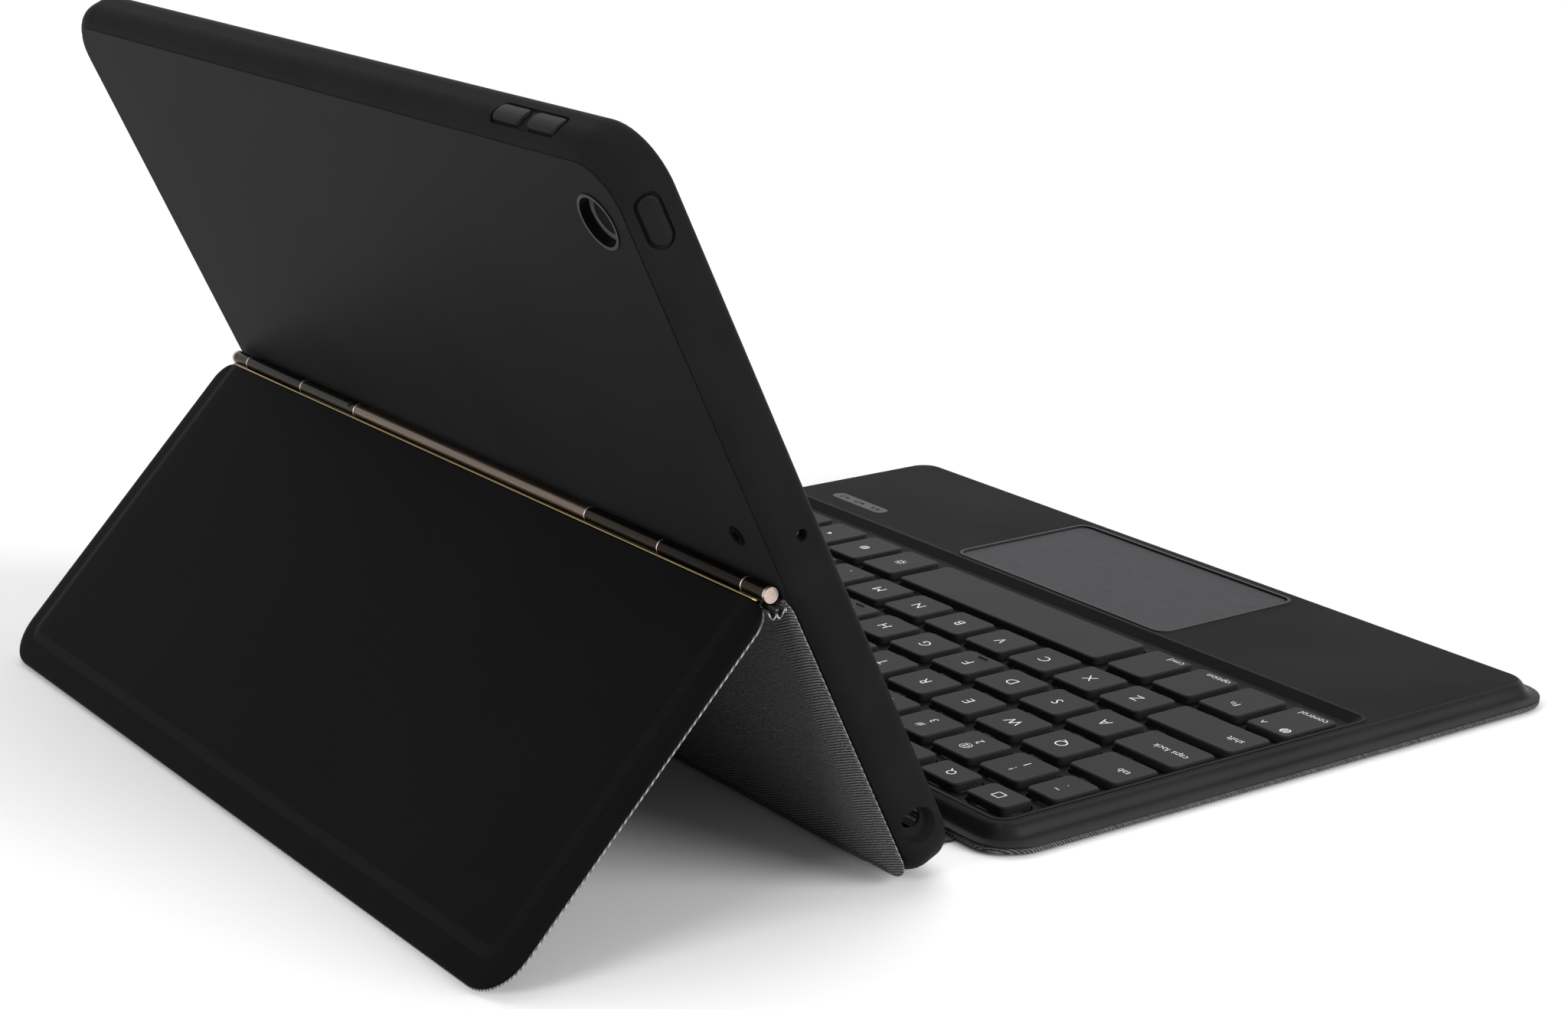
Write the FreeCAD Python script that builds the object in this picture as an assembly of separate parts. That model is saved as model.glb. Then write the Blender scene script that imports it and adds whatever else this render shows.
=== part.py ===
import FreeCAD, Part
import math
import os

# Tablet keyboard case standing open on its kickstand, in millimetres.
# X runs across the case (user's left is -X), Y away from the user, Z up, floor at Z = 0.

# Tablet that the shell is moulded for
tablet_w = 250.6
tablet_h = 174.1
tablet_t = 7.5
tablet_r = 10.5
tablet_gap = 0.3
tablet_play = 0.1

# Moulded shell
rim_wall = 2.9
shell_t = 11.9
rim_back_r = 5.4
rim_front_r = 3.6
back_inset = 4.05
back_t = 2.0
lining_t = 0.5
lip_over = 2.4
camera_side = 14.3
camera_down = 17.0
camera_hole_d = 10.8
camera_ring_w = 0.7
camera_lining_d = 8.0
ring_proud = 0.3
mic_side = 14.2
mic_hole_d = 2.0
mic_ring_w = 1.2
side_mic_d = 2.6
jack_v = 17.3
jack_w = 4.7
jack_hole_d = 4.8
jack_dish_d = 8.4
jack_dish_depth = 2.1
jack_dish_drop = 1.4
port_len = 14.0
port_t = 7.0
speaker_len = 26.0
speaker_t = 3.2
speaker_off = 48.0

# Shell buttons
volume_side = 34.3
volume_pitch = 13.2
volume_len = 10.6
button_wide = 4.0
volume_w = 4.5
power_down = 16.7
power_len = 10.4
power_w = 4.2
button_gap = 0.15
button_proud = 0.75
button_edge_r = 0.45
volume_corner_r = 1.3
button_dish = 0.5
button_dish_margin = 0.7
button_travel = 0.35

# Back panel glued to the lower back of the shell
panel_board_t = 0.7
panel_fabric_t = 0.5
panel_side = 3.5
panel_top_gap = 2.7
panel_bend_v = 5.0
tail_fold_y = -4.2
fold_gap = 0.3
tail_bend_in = 1.3
tail_bend_out = 1.5
tail_drop = 2.0
panel_board_inset = 2.0

# Metal kickstand hinge
hinge_v = 79.4
hinge_off = 2.2
knuckle_r = 1.7
pin_r = 0.8
pin_play = 0.05
knuckle_gap = 0.25
hinge_side = 3.8
knuckle_shares = (0.444, 0.6826, 0.9375)
cap_t = 0.9
leaf_t = 0.4
leaf_len = 13.0
leaf_gap = 2.15
rivet_r = 1.2
rivet_t = 0.25
rivet_inset = 7.0
rivet_side = 21.6
leaf_inset = 1.0
knuckle_web = 1.2
knuckle_web_h = 1.5
moving_web = 1.1
web_lap = 0.5

# Kickstand flap
lean_deg = 24.9
stand_deg = 43.7
flap_len = 96.2
flap_side = 3.1
flap_top = 2.5
flap_r = 13.0
flap_margin = 8.0
flap_in = -0.7
flap_lining_t = 0.5
flap_board_t = 1.3
flap_skin_t = 0.6
flap_flange_t = 0.7
flap_slope = 2.2
foot_round = 0.2
skin_seam = 0.6
magnet_r = 5.0
magnet_t = 0.8
magnet_side = 18.0
magnet_foot = 14.0

# Spine strip between shell and keyboard
spine_len = 17.3
spine_side = 18.5
spine_fabric_t = 0.28
spine_lining_t = 0.22

# Keyboard
kb_side = 2.5
kb_depth = 175.2
kb_r = 11.0
kb_fabric_t = 0.5
kb_fabric_inset = 0.8
flange_t = 0.8
flange_w = 3.6
rear_flange_w = 2.16
deck_r = 9.0
deck_z = 6.2
deck_draft = 1.6
skin_t = 0.6
shoulder_r = 1.4
tray_t = 0.8
tray_wall = 1.0
well_side = 7.6
well_rear = 6.0
well_front = 117.0
well_r = 3.2
ridge_w = 1.0
ridge_h = 0.2
bevel_w = 2.6
floor_z = 4.6
frame_t = 1.5
plate_t = 0.4
membrane_t = 0.3
glow_t = 0.3
sheet_inset = 0.6
sheet_r = 6.5
dome_r = 2.4
dome_room = 0.6
well_draft = 0.8

# Keys
key_pitch = 17.25
row_pitch = 17.25
key_w = 14.2
key_d = 13.4
key_r = 1.6
key_top_z = 6.6
key_edge = 0.3
key_hole_gap = 0.5
key_travel = 1.1
key_sink = 0.1
key_side = 1.4
key_gap = 3.05
low_row_d = 17.4
low_key_w = 13.6
low_left_count = 4
low_right_count = 5
fn_row_d = 8.8
fn_pitch = 17.0
fn_w = 13.4
fn_inset = 3.0
fn_count = 13
fn_end_gap = 3.55
fn_shift = 2.6
row_q_down = 40.5
space_first = 1.0
space_last = 2.15
space_gap = 0.7
number_first = 10.35
number_count = 12
upper_first = 16.35
upper_count = 11
home_first = 21.25
home_count = 11
lower_first = 29.45
lower_count = 10

# Trackpad, indicator window and inside pieces
pad_half = 42.0
pad_x = -1.0
pad_front_edge = 10.0
pad_rear_edge = 2.8
pad_r = 3.0
pad_t = 0.8
pad_sink = 0.25
pad_gap = 0.25
pad_travel = 0.2
pad_frame_w = 1.1
pad_frame_h = 0.3
pad_board_gap = 0.15
pad_seat = 2.0
pad_seat_end = 1.0
window_side = 29.5
window_down = 9.3
window_len = 24.0
window_wide = 4.4
window_t = 0.6
board_t = 0.8
battery_len = 46.0
battery_wide = 36.0
battery_t = 2.4
battery_side = 49.0
battery_front = 32.2
battery_r = 1.5
board_long = 60.0
inner_gap = 0.6
magnet_inset = 9.0
port_front = 34.2
port_wide = 9.0
port_high = 3.2
port_deep = 7.4
port_wall = 0.6
switch_front = 49.7
switch_len = 5.0
switch_high = 1.6
switch_travel = 2.0
switch_slot_gap = 0.25
screw_r = 1.4
screw_t = 0.5
screw_side = 10.4
screw_inset = 2.4

# Places worked out from the sizes above
cavity_w = tablet_w + 2 * tablet_gap
cavity_h = tablet_h + 2 * tablet_gap
shell_w = cavity_w + 2 * rim_wall
shell_h = cavity_h + 2 * rim_wall
shell_r = tablet_r + tablet_gap + rim_wall
cavity_in = back_t
cavity_out = back_t + lining_t + tablet_t + tablet_play
lean = math.radians(lean_deg)
stand = math.radians(stand_deg)
hinge_z = flap_len * math.cos(stand) - flap_in * math.sin(stand)
shell_z = hinge_z - hinge_v * math.cos(lean) + hinge_off * math.sin(lean)
hinge_y = hinge_v * math.sin(lean) + hinge_off * math.cos(lean)
foot_y = hinge_y + flap_len * math.sin(stand) + foot_round
spine_t = spine_fabric_t + spine_lining_t
kb_rear_y = tail_fold_y - spine_len
kb_front_y = kb_rear_y - kb_depth
y_shift = -(foot_y + kb_front_y) / 2
key_bottom_z = floor_z - key_sink
camera_x = camera_side - shell_w / 2
camera_v = shell_h - camera_down
mic_x = mic_side - shell_w / 2
volume_x = volume_side - shell_w / 2
power_v = shell_h - power_down
panel_half = shell_w / 2 - panel_side
flap_half = shell_w / 2 - flap_side
spine_half = shell_w / 2 - spine_side
hinge_half = flap_half - hinge_side
knuckle_ends = [share * hinge_half for share in knuckle_shares]
rivet_pitch = (hinge_half - rivet_side) / 2.5
kb_half = shell_w / 2 - kb_side
well_half = kb_half - well_side
key_left = key_side - well_half
key_right = well_half - key_side
low_pitch = low_key_w + key_gap
space_x0 = key_left + low_left_count * low_pitch + space_first
space_x1 = key_right - low_right_count * low_pitch - space_last
row_q_y = well_rear + row_q_down
pad_front = kb_depth - pad_front_edge
pad_rear = well_front + pad_rear_edge
window_x = kb_half - window_side
window_y = well_front + window_down
battery_x = kb_half - battery_side
battery_y = kb_depth - battery_front
port_y = kb_depth - port_front
switch_y = kb_depth - switch_front
screw_outer = well_half - screw_side
screw_x = [share * screw_outer for share in (-1, -1 / 3, 1 / 3, 1)]
big = 400.0
pieces = {}


def vec(x, y, z):
    return FreeCAD.Vector(x, y, z)


def outline(x0, x1, y0, y1, r, z=0.0):
    # rounded rectangle as a closed wire
    k = r * (1 - math.sqrt(0.5))
    spots = [(x0 + r, y0), (x1 - r, y0), (x1 - k, y0 + k), (x1, y0 + r), (x1, y1 - r), (x1 - k, y1 - k),
             (x1 - r, y1), (x0 + r, y1), (x0 + k, y1 - k), (x0, y1 - r), (x0, y0 + r), (x0 + k, y0 + k)]
    p = [vec(x, y, z) for x, y in spots]
    edges = []
    for i in (0, 3, 6, 9):
        nxt = p[(i + 3) % 12]
        if (p[i + 1] - p[i]).Length > 1e-6:
            edges.append(Part.makeLine(p[i], p[i + 1]))
        edges.append(Part.Arc(p[i + 1], p[i + 2], nxt).toShape())
    return Part.Wire(edges)


def slab(x0, x1, y0, y1, r, z0, z1):
    return Part.Face(outline(x0, x1, y0, y1, r, z0)).extrude(vec(0, 0, z1 - z0))


def box(x0, x1, y0, y1, z0, z1):
    return Part.makeBox(x1 - x0, y1 - y0, z1 - z0, vec(x0, y0, z0))


def centred(w, h, r, yc, z0, z1):
    return slab(-w / 2, w / 2, yc - h / 2, yc + h / 2, r, z0, z1)


def rod(r, length, base, axis):
    return Part.makeCylinder(r, length, base, axis)


def bar_x(r, x0, x1):
    return rod(r, x1 - x0, vec(x0, 0, 0), vec(1, 0, 0))


def frustum(a, b):
    return Part.makeLoft([a, b], True, True)


def level_edges(shape, z):
    return [e for e in shape.Edges if all(abs(v.Z - z) < 1e-4 for v in e.Vertexes)]


def put_shell(shape):
    # flat model: X across, Y up the shell, Z from the back face towards the user
    s = shape.copy()
    s.rotate(vec(0, 0, 0), vec(1, 0, 0), 90 - lean_deg)
    s.translate(vec(0, y_shift, shell_z))
    return s


def put_flap(shape):
    # flat model: hinge axis along X, Y down the flap, Z outwards from the case
    s = shape.copy()
    s.rotate(vec(0, 0, 0), vec(1, 0, 0), stand_deg - 90)
    s.translate(vec(0, y_shift + hinge_y, hinge_z))
    return s


def put_kb(shape):
    # flat model: Y is the distance from the keyboard's rear edge towards the user
    s = shape.copy()
    s.rotate(vec(0, 0, 0), vec(0, 0, 1), 180)
    s = s.mirror(vec(0, 0, 0), vec(1, 0, 0))
    s.translate(vec(0, y_shift + kb_rear_y, 0))
    return s


def group(shapes):
    return Part.makeCompound(shapes)


def keep(name, shape):
    pieces[name] = shape


mid_v = shell_h / 2

# Shell rim: a soft frame with a rounded back edge and a lip over the tablet
def rim_block(grow):
    # outside of the rim, moved out by grow
    block = centred(shell_w + 2 * grow, shell_h + 2 * grow, shell_r + grow, mid_v, -grow, shell_t + grow)
    block = block.makeFillet(rim_back_r + grow, level_edges(block, -grow))
    return block.makeFillet(rim_front_r + grow, level_edges(block, shell_t + grow))


rim = rim_block(0)
cavity_r = tablet_r + tablet_gap
rim = rim.cut(centred(cavity_w, cavity_h, cavity_r, mid_v, cavity_in, cavity_out))
lip_w = cavity_w - 2 * lip_over
lip_h = cavity_h - 2 * lip_over
rim = rim.cut(centred(lip_w, lip_h, cavity_r - lip_over, mid_v, cavity_out - 1, shell_t + 1))
plate_w = shell_w - 2 * back_inset
plate_h = shell_h - 2 * back_inset
plate_r = shell_r - back_inset
rim = rim.cut(centred(plate_w, plate_h, plate_r, mid_v, -1, cavity_in + 0.01))


def top_prism(x, w, length, wide, r, v0, v1):
    # rounded prism that runs up through the top edge of the rim
    s = slab(x - length / 2, x + length / 2, w - wide / 2, w + wide / 2, r, 0, v1 - v0)
    s.rotate(vec(0, 0, 0), vec(1, 0, 0), -90)
    s = s.mirror(vec(0, 0, 0), vec(0, 0, 1))
    s.translate(vec(0, v0, 0))
    return s


def side_stadium(v, w, length, wide, x0, x1):
    # stadium prism that runs out through the short side of the rim
    s = slab(w - wide / 2, w + wide / 2, v - length / 2, v + length / 2, wide / 2 - 0.01, 0, x1 - x0)
    s.rotate(vec(0, 0, 0), vec(0, 1, 0), -90)
    s.translate(vec(x1, 0, 0))
    return s


wall_in = cavity_h / 2 + mid_v
wall_out = shell_h
volume_spots = {"volume_up_button": volume_x + volume_pitch / 2,
                "volume_down_button": volume_x - volume_pitch / 2}
dish_len = volume_pitch + volume_len + 2 * button_dish_margin
dish_wide = button_wide + 2 * button_dish_margin
dish_r = volume_corner_r + button_dish_margin
dish_floor = rim_block(-button_dish)
button_top = rim_block(button_proud - button_dish)
dish = top_prism(volume_x, volume_w, dish_len, dish_wide, dish_r, wall_out - 2.5, wall_out + 2)
rim = rim.cut(dish.cut(dish_floor))
for name, x in volume_spots.items():
    pocket = top_prism(x, volume_w, volume_len + 2 * button_gap, button_wide + 2 * button_gap,
                       volume_corner_r + button_gap, wall_in - 1, wall_out + 2)
    rim = rim.cut(pocket)
    pad = top_prism(x, volume_w, volume_len, button_wide, volume_corner_r, wall_in + button_travel,
                    wall_out + 2).common(button_top)
    top_edges = [e for e in pad.Edges if e.BoundBox.YMin > wall_out - 1.6]
    keep(name, put_shell(pad.makeFillet(button_edge_r, top_edges)))
side_in = -cavity_w / 2
side_out = -shell_w / 2
dish = side_stadium(power_v, power_w, power_len + 2 * button_dish_margin, dish_wide, side_out - 2, side_out + 2.5)
rim = rim.cut(dish.cut(dish_floor))
rim = rim.cut(side_stadium(power_v, power_w, power_len + 2 * button_gap, button_wide + 2 * button_gap,
                           side_out - 2, side_in + 1))
power = side_stadium(power_v, power_w, power_len, button_wide, side_out - 2,
                     side_in - button_travel).common(button_top)
side_edges = [e for e in power.Edges if e.BoundBox.XMax < side_out + 1.6]
keep("power_button", put_shell(power.makeFillet(button_edge_r, side_edges)))

# Holes through the short sides: jack in its dish, microphone, charging port and speakers
rim = rim.cut(rod(jack_hole_d / 2, rim_wall + 4, vec(side_out - 2, jack_v, jack_w), vec(1, 0, 0)))
dish = Part.makeCone(jack_dish_d / 2 + 0.3, jack_dish_d / 2 - 0.8, jack_dish_depth + 0.6,
                     vec(side_out - 0.6, jack_v - jack_dish_drop, jack_w), vec(1, 0, 0))
rim = rim.cut(dish)
mid_w = back_t + lining_t + tablet_t / 2
rim = rim.cut(rod(side_mic_d / 2, rim_wall + 4, vec(side_out - 2, mid_v, mid_w), vec(1, 0, 0)))
far_in = cavity_w / 2 - 1
far_out = shell_w / 2 + 2
rim = rim.cut(side_stadium(mid_v, mid_w, port_len, port_t, far_in, far_out))
for sign in (-1, 1):
    rim = rim.cut(side_stadium(mid_v + sign * speaker_off, mid_w, speaker_len, speaker_t, far_in, far_out))
keep("shell_rim", put_shell(rim))

# Stiff back plate, glued inside the rim, with the camera and microphone holes
plate = centred(plate_w, plate_h, plate_r, mid_v, 0, back_t)
ring_r = camera_hole_d / 2 + camera_ring_w
mic_r = mic_hole_d / 2 + mic_ring_w
camera_spot = vec(camera_x, camera_v, -ring_proud)
mic_spot = vec(mic_x, mid_v, -ring_proud)
ring_long = back_t + ring_proud
up = vec(0, 0, 1)
plate = plate.cut(rod(ring_r, ring_long, camera_spot, up))
plate = plate.cut(rod(mic_r, ring_long, mic_spot, up))
keep("shell_back", put_shell(plate))
camera_ring = rod(ring_r, ring_long, camera_spot, up).cut(rod(camera_hole_d / 2, ring_long, camera_spot, up))
keep("camera_ring", put_shell(camera_ring))
mic_ring = rod(mic_r, ring_long, mic_spot, up).cut(rod(mic_hole_d / 2, ring_long, mic_spot, up))
keep("mic_ring", put_shell(mic_ring))
lining = centred(cavity_w, cavity_h, cavity_r, mid_v, cavity_in, cavity_in + lining_t)
lining = lining.cut(rod(camera_lining_d / 2, 5, camera_spot, up))
lining = lining.cut(rod(mic_hole_d / 2, 5, mic_spot, up))
keep("shell_lining", put_shell(lining))
lens_spot = vec(camera_x, camera_v, cavity_in)
keep("camera_window", put_shell(rod(camera_lining_d / 2, lining_t, lens_spot, up)))

# Back panel: a thin board and its fabric, which turns under the shell as a tail to the fold
panel_top = hinge_v - panel_top_gap
board_half = panel_half - panel_board_inset
board = box(-board_half, board_half, panel_bend_v + inner_gap, panel_top, -panel_board_t, 0)
leaf_pocket = box(-hinge_half, hinge_half, panel_top - leaf_len, panel_top + 1, -leaf_t, 1)
keep("back_panel_board", put_shell(board.cut(leaf_pocket)))


def shell_spot(y, z):
    # a point of the standing case, given in the shell's own flat frame
    dz = z - shell_z
    along = y * math.sin(lean) + dz * math.cos(lean)
    out = -(y * math.cos(lean) - dz * math.sin(lean))
    return vec(0, along, out)


fabric_out = -panel_board_t - panel_fabric_t
tail_line = [vec(0, panel_top, -panel_board_t), vec(0, panel_bend_v, -panel_board_t),
             shell_spot(tail_bend_in, spine_t), shell_spot(tail_fold_y + fold_gap, spine_t),
             shell_spot(tail_fold_y + fold_gap, 0), shell_spot(tail_bend_out, 0),
             vec(0, panel_bend_v - tail_drop, fabric_out), vec(0, panel_top, fabric_out)]
tail_wire = Part.makePolygon(tail_line + tail_line[:1])
fabric = Part.Face(tail_wire).extrude(vec(2 * panel_half, 0, 0))
fabric.translate(vec(-panel_half, 0, 0))
for x0, x1 in ((-big, -spine_half), (spine_half, big)):
    fabric = fabric.cut(box(x0, x1, -big, panel_bend_v - tail_drop, -big, big))
keep("back_panel_fabric", put_shell(fabric))

# Hinge: fixed leaf with its knuckles, pin, end caps, moving leaf with the knuckles between
inner, middle, outer = knuckle_ends
fixed_spans = [(-inner, inner), (middle, outer), (-outer, -middle)]
moving_spans = [(inner, middle), (-middle, -inner), (outer, hinge_half), (-hinge_half, -outer)]


def knuckles(spans):
    tubes = []
    for x0, x1 in spans:
        tubes.append(bar_x(knuckle_r, x0 + knuckle_gap / 2, x1 - knuckle_gap / 2))
    return tubes


bore = bar_x(pin_r + pin_play, -hinge_half - 5, hinge_half + 5)
leaf_half = hinge_half - leaf_inset
fixed = box(-leaf_half, leaf_half, panel_top - leaf_len, hinge_v - leaf_gap, -leaf_t, 0)
for x0, x1 in fixed_spans:
    a = x0 + knuckle_gap / 2
    b = x1 - knuckle_gap / 2
    fixed = fixed.fuse(box(a, b, hinge_v - leaf_gap - web_lap, hinge_v, -leaf_t, 0))
    fixed = fixed.fuse(box(a, b, hinge_v - knuckle_web, hinge_v, -knuckle_web_h, 0))
for tube in knuckles(fixed_spans):
    tube.translate(vec(0, hinge_v, -hinge_off))
    fixed = fixed.fuse(tube)
hole = bore.copy()
hole.translate(vec(0, hinge_v, -hinge_off))
keep("hinge_fixed_leaf", put_shell(fixed.cut(hole).removeSplitter()))
pin = bar_x(pin_r, -hinge_half, hinge_half)
keep("hinge_pin", put_flap(pin))
right_cap = bar_x(knuckle_r, hinge_half, hinge_half + cap_t)
left_cap = bar_x(knuckle_r, -hinge_half - cap_t, -hinge_half)
keep("hinge_end_caps", put_flap(group([right_cap, left_cap])))
leaf_low = flap_in + flap_lining_t
moving = box(-leaf_half, leaf_half, leaf_gap, leaf_gap + leaf_len, leaf_low, leaf_low + leaf_t)
for x0, x1 in moving_spans:
    a = x0 + knuckle_gap / 2
    b = x1 - knuckle_gap / 2
    moving = moving.fuse(box(a, b, moving_web, leaf_gap + web_lap, leaf_low, leaf_low + leaf_t))
for tube in knuckles(moving_spans):
    moving = moving.fuse(tube)
keep("hinge_moving_leaf", put_flap(moving.cut(bore).removeSplitter()))
rivet_x = [(i - 2.5) * rivet_pitch for i in range(6)]
board_low = leaf_low
board_high = board_low + flap_board_t
stand_rivets = []
panel_rivets = []
for x in rivet_x:
    stand_rivets.append(rod(rivet_r, rivet_t, vec(x, leaf_gap + rivet_inset, leaf_low + leaf_t), up))
    panel_rivets.append(rod(rivet_r, rivet_t, vec(x, panel_top - rivet_inset, -leaf_t - rivet_t), up))
keep("hinge_stand_rivets", put_flap(group(stand_rivets)))
keep("hinge_panel_rivets", put_shell(group(panel_rivets)))
for rivet in panel_rivets:
    pieces["back_panel_board"] = pieces["back_panel_board"].cut(put_shell(rivet))

# Kickstand: board between a fabric lining and a pressed skin with a thin flange round it
lining_slab = slab(-flap_half, flap_half, flap_top, flap_len, 1.0, flap_in, board_low)
corner_cut = slab(-flap_half, flap_half, -flap_len, flap_len, flap_r, flap_in - 1, board_high + 2)
keep("kickstand_lining", put_flap(lining_slab.common(corner_cut)))
bx = flap_half - flap_margin
board_wire = (-bx, bx, flap_top + skin_seam, flap_len - flap_margin)
stand_board = slab(*board_wire, flap_r - flap_margin, board_low, board_high)
magnet_y = flap_len - flap_margin - magnet_foot
magnets = []
for sign in (-1, 1):
    magnets.append(rod(magnet_r, magnet_t, vec(sign * (bx - magnet_side), magnet_y, board_low), up))
leaf_room = box(-hinge_half, hinge_half, 0, leaf_gap + leaf_len + 0.3, board_low - 1, leaf_low + leaf_t)
stand_board = stand_board.cut(leaf_room)
for rivet in stand_rivets:
    stand_board = stand_board.cut(rivet)
for magnet in magnets:
    stand_board = stand_board.cut(magnet)
keep("kickstand_board", put_flap(stand_board))
keep("kickstand_magnets", put_flap(group(magnets)))
flange = slab(-flap_half, flap_half, -flap_len, flap_len, flap_r, board_low, board_low + flap_flange_t)
top_z = board_high + flap_skin_t
top_x = bx + skin_seam
top_y = flap_len - flap_margin + skin_seam
top_r = flap_r - flap_margin + skin_seam
low_z = board_low + flap_flange_t - foot_round
foot_x = top_x + flap_slope
low_wire = outline(-foot_x, foot_x, -flap_len, top_y + flap_slope, top_r + flap_slope, low_z)
high_wire = outline(-top_x, top_x, -flap_len, top_y, top_r, top_z)
skin = flange.fuse(frustum(low_wire, high_wire))
skin = skin.common(box(-big, big, flap_top, big, -big, big))
skin = skin.cut(slab(*board_wire[:2], 0, board_wire[3], flap_r - flap_margin, board_low - 1, board_high))
skin = skin.cut(leaf_room)
keep("kickstand_skin", put_flap(skin.removeSplitter()))

# Spine: two thin layers between the two folds
spine_y0 = kb_rear_y + fold_gap
spine_y1 = tail_fold_y - fold_gap
spine_fabric = box(-spine_half, spine_half, spine_y0, spine_y1, 0, spine_fabric_t)
spine_lining = box(-spine_half, spine_half, spine_y0, spine_y1, spine_fabric_t, spine_t)
for name, shape in (("spine_fabric", spine_fabric), ("spine_lining", spine_lining)):
    shape.translate(vec(0, y_shift, 0))
    keep(name, shape)

# Keyboard skin: flat deck, drafted sides and a bonded flange, open over the key well and trackpad
fab_half = kb_half - kb_fabric_inset
kb_fab = slab(-fab_half, fab_half, fold_gap, kb_depth - kb_fabric_inset, kb_r, 0, kb_fabric_t)
keep("keyboard_fabric", put_kb(kb_fab))
flange_top = kb_fabric_t + flange_t
dx = kb_half - flange_w
low_wire = outline(-dx, dx, rear_flange_w, kb_depth - flange_w, deck_r, kb_fabric_t)
high_wire = outline(-dx + deck_draft, dx - deck_draft, rear_flange_w + deck_draft,
                    kb_depth - flange_w - deck_draft, deck_r - deck_draft, deck_z)
deck = frustum(low_wire, high_wire)
deck = deck.makeFillet(shoulder_r, level_edges(deck, deck_z))
kb_skin = deck.fuse(slab(-kb_half, kb_half, fold_gap, kb_depth, kb_r, kb_fabric_t, flange_top))
skin_in = deck_draft + skin_t + skin_seam
in_x = dx - skin_in
in_y0 = rear_flange_w + skin_in
in_y1 = kb_depth - flange_w - skin_in
in_r = deck_r - deck_draft - skin_t
room = (-in_x, in_x, in_y0, in_y1, in_r)
kb_skin = kb_skin.cut(slab(*room, kb_fabric_t - 1, deck_z - skin_t))
well = (-well_half, well_half, well_rear, well_front)
frame_out = (well[0] - ridge_w, well[1] + ridge_w, well[2] - ridge_w, well[3] + ridge_w)
kb_skin = kb_skin.cut(slab(*frame_out, well_r + ridge_w, 0, big))
pad_box = (pad_x - pad_half, pad_x + pad_half, pad_rear, pad_front)
pad_ring = (pad_box[0] - pad_frame_w, pad_box[1] + pad_frame_w,
            pad_box[2] - pad_frame_w, pad_box[3] + pad_frame_w)
kb_skin = kb_skin.cut(slab(*pad_ring, pad_r + pad_frame_w, deck_z - skin_t - 1, big))
window_box = (window_x - window_len / 2, window_x + window_len / 2, window_y - window_wide / 2,
              window_y + window_wide / 2)
window = slab(*window_box, window_wide / 2 - 0.01, deck_z - window_t, deck_z)
kb_skin = kb_skin.cut(window)
keep("indicator_window", put_kb(window))

# Tray under the works, with a wall that carries the deck
tray_low = kb_fabric_t
tray = slab(*room, tray_low, deck_z - skin_t)
tray_room = (room[0] + tray_wall, room[1] - tray_wall, room[2] + tray_wall, room[3] - tray_wall)
tray = tray.cut(slab(*tray_room, in_r - tray_wall, tray_low + tray_t, big))

# Key frame: bevelled well edge and a floor with one opening for each key
works_z = tray_low + tray_t
frame_low = floor_z - frame_t
frame = slab(*frame_out, well_r + ridge_w, frame_low, deck_z + ridge_h)
tray = tray.cut(slab(*frame_out, well_r + ridge_w, frame_low, big))
floor_box = (well[0] + well_draft, well[1] - well_draft, well[2] + well_draft, well[3] - bevel_w)
frame = frame.cut(frustum(outline(*floor_box, well_r, floor_z), outline(*well, well_r, deck_z + ridge_h)))


def key_rows():
    # each row is its name, distance from the rear edge, depth and list of left and right key sides
    rows = []
    fn_left = key_left + fn_inset
    fn_keys = [(fn_left + i * fn_pitch, fn_left + i * fn_pitch + fn_w) for i in range(fn_count)]
    fn_keys.append((fn_keys[-1][1] + fn_end_gap, key_right))
    rows.append(("function_keys", row_q_y - row_pitch * 2 + fn_shift, fn_row_d, fn_keys))
    rows.append(("number_keys", row_q_y - row_pitch, key_d, span_keys(number_first, number_count)))
    rows.append(("upper_letter_keys", row_q_y, key_d, span_keys(upper_first, upper_count)))
    rows.append(("home_letter_keys", row_q_y + row_pitch, key_d, span_keys(home_first, home_count)))
    rows.append(("lower_letter_keys", row_q_y + 2 * row_pitch, key_d, span_keys(lower_first, lower_count)))
    low = [(key_left + i * low_pitch, key_left + i * low_pitch + low_key_w) for i in range(low_left_count)]
    x = space_x1 + key_gap + space_gap
    for i in range(low_right_count):
        low.append((x + i * low_pitch, x + i * low_pitch + low_key_w))
    low_y = row_q_y + 3 * row_pitch + (low_row_d - key_d) / 2
    rows.append(("modifier_keys", low_y, low_row_d, low))
    rows.append(("space_bar", low_y, low_row_d, [(space_x0, space_x1)]))
    return rows


def span_keys(first_w, count):
    # a row of equal keys with an odd one at each end
    keys = [(key_left, key_left + first_w)]
    first_left = key_left + first_w + key_gap
    for i in range(count):
        x = first_left + i * key_pitch
        keys.append((x, x + key_w))
    keys.append((keys[-1][1] + key_gap, key_right))
    return keys


def key_hole(x0, x1, y, depth):
    # opening that leaves the same gap all round one key
    g = key_hole_gap
    return slab(x0 - g, x1 + g, y - depth / 2 - g, y + depth / 2 + g, key_r + g, 0, deck_z)


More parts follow.
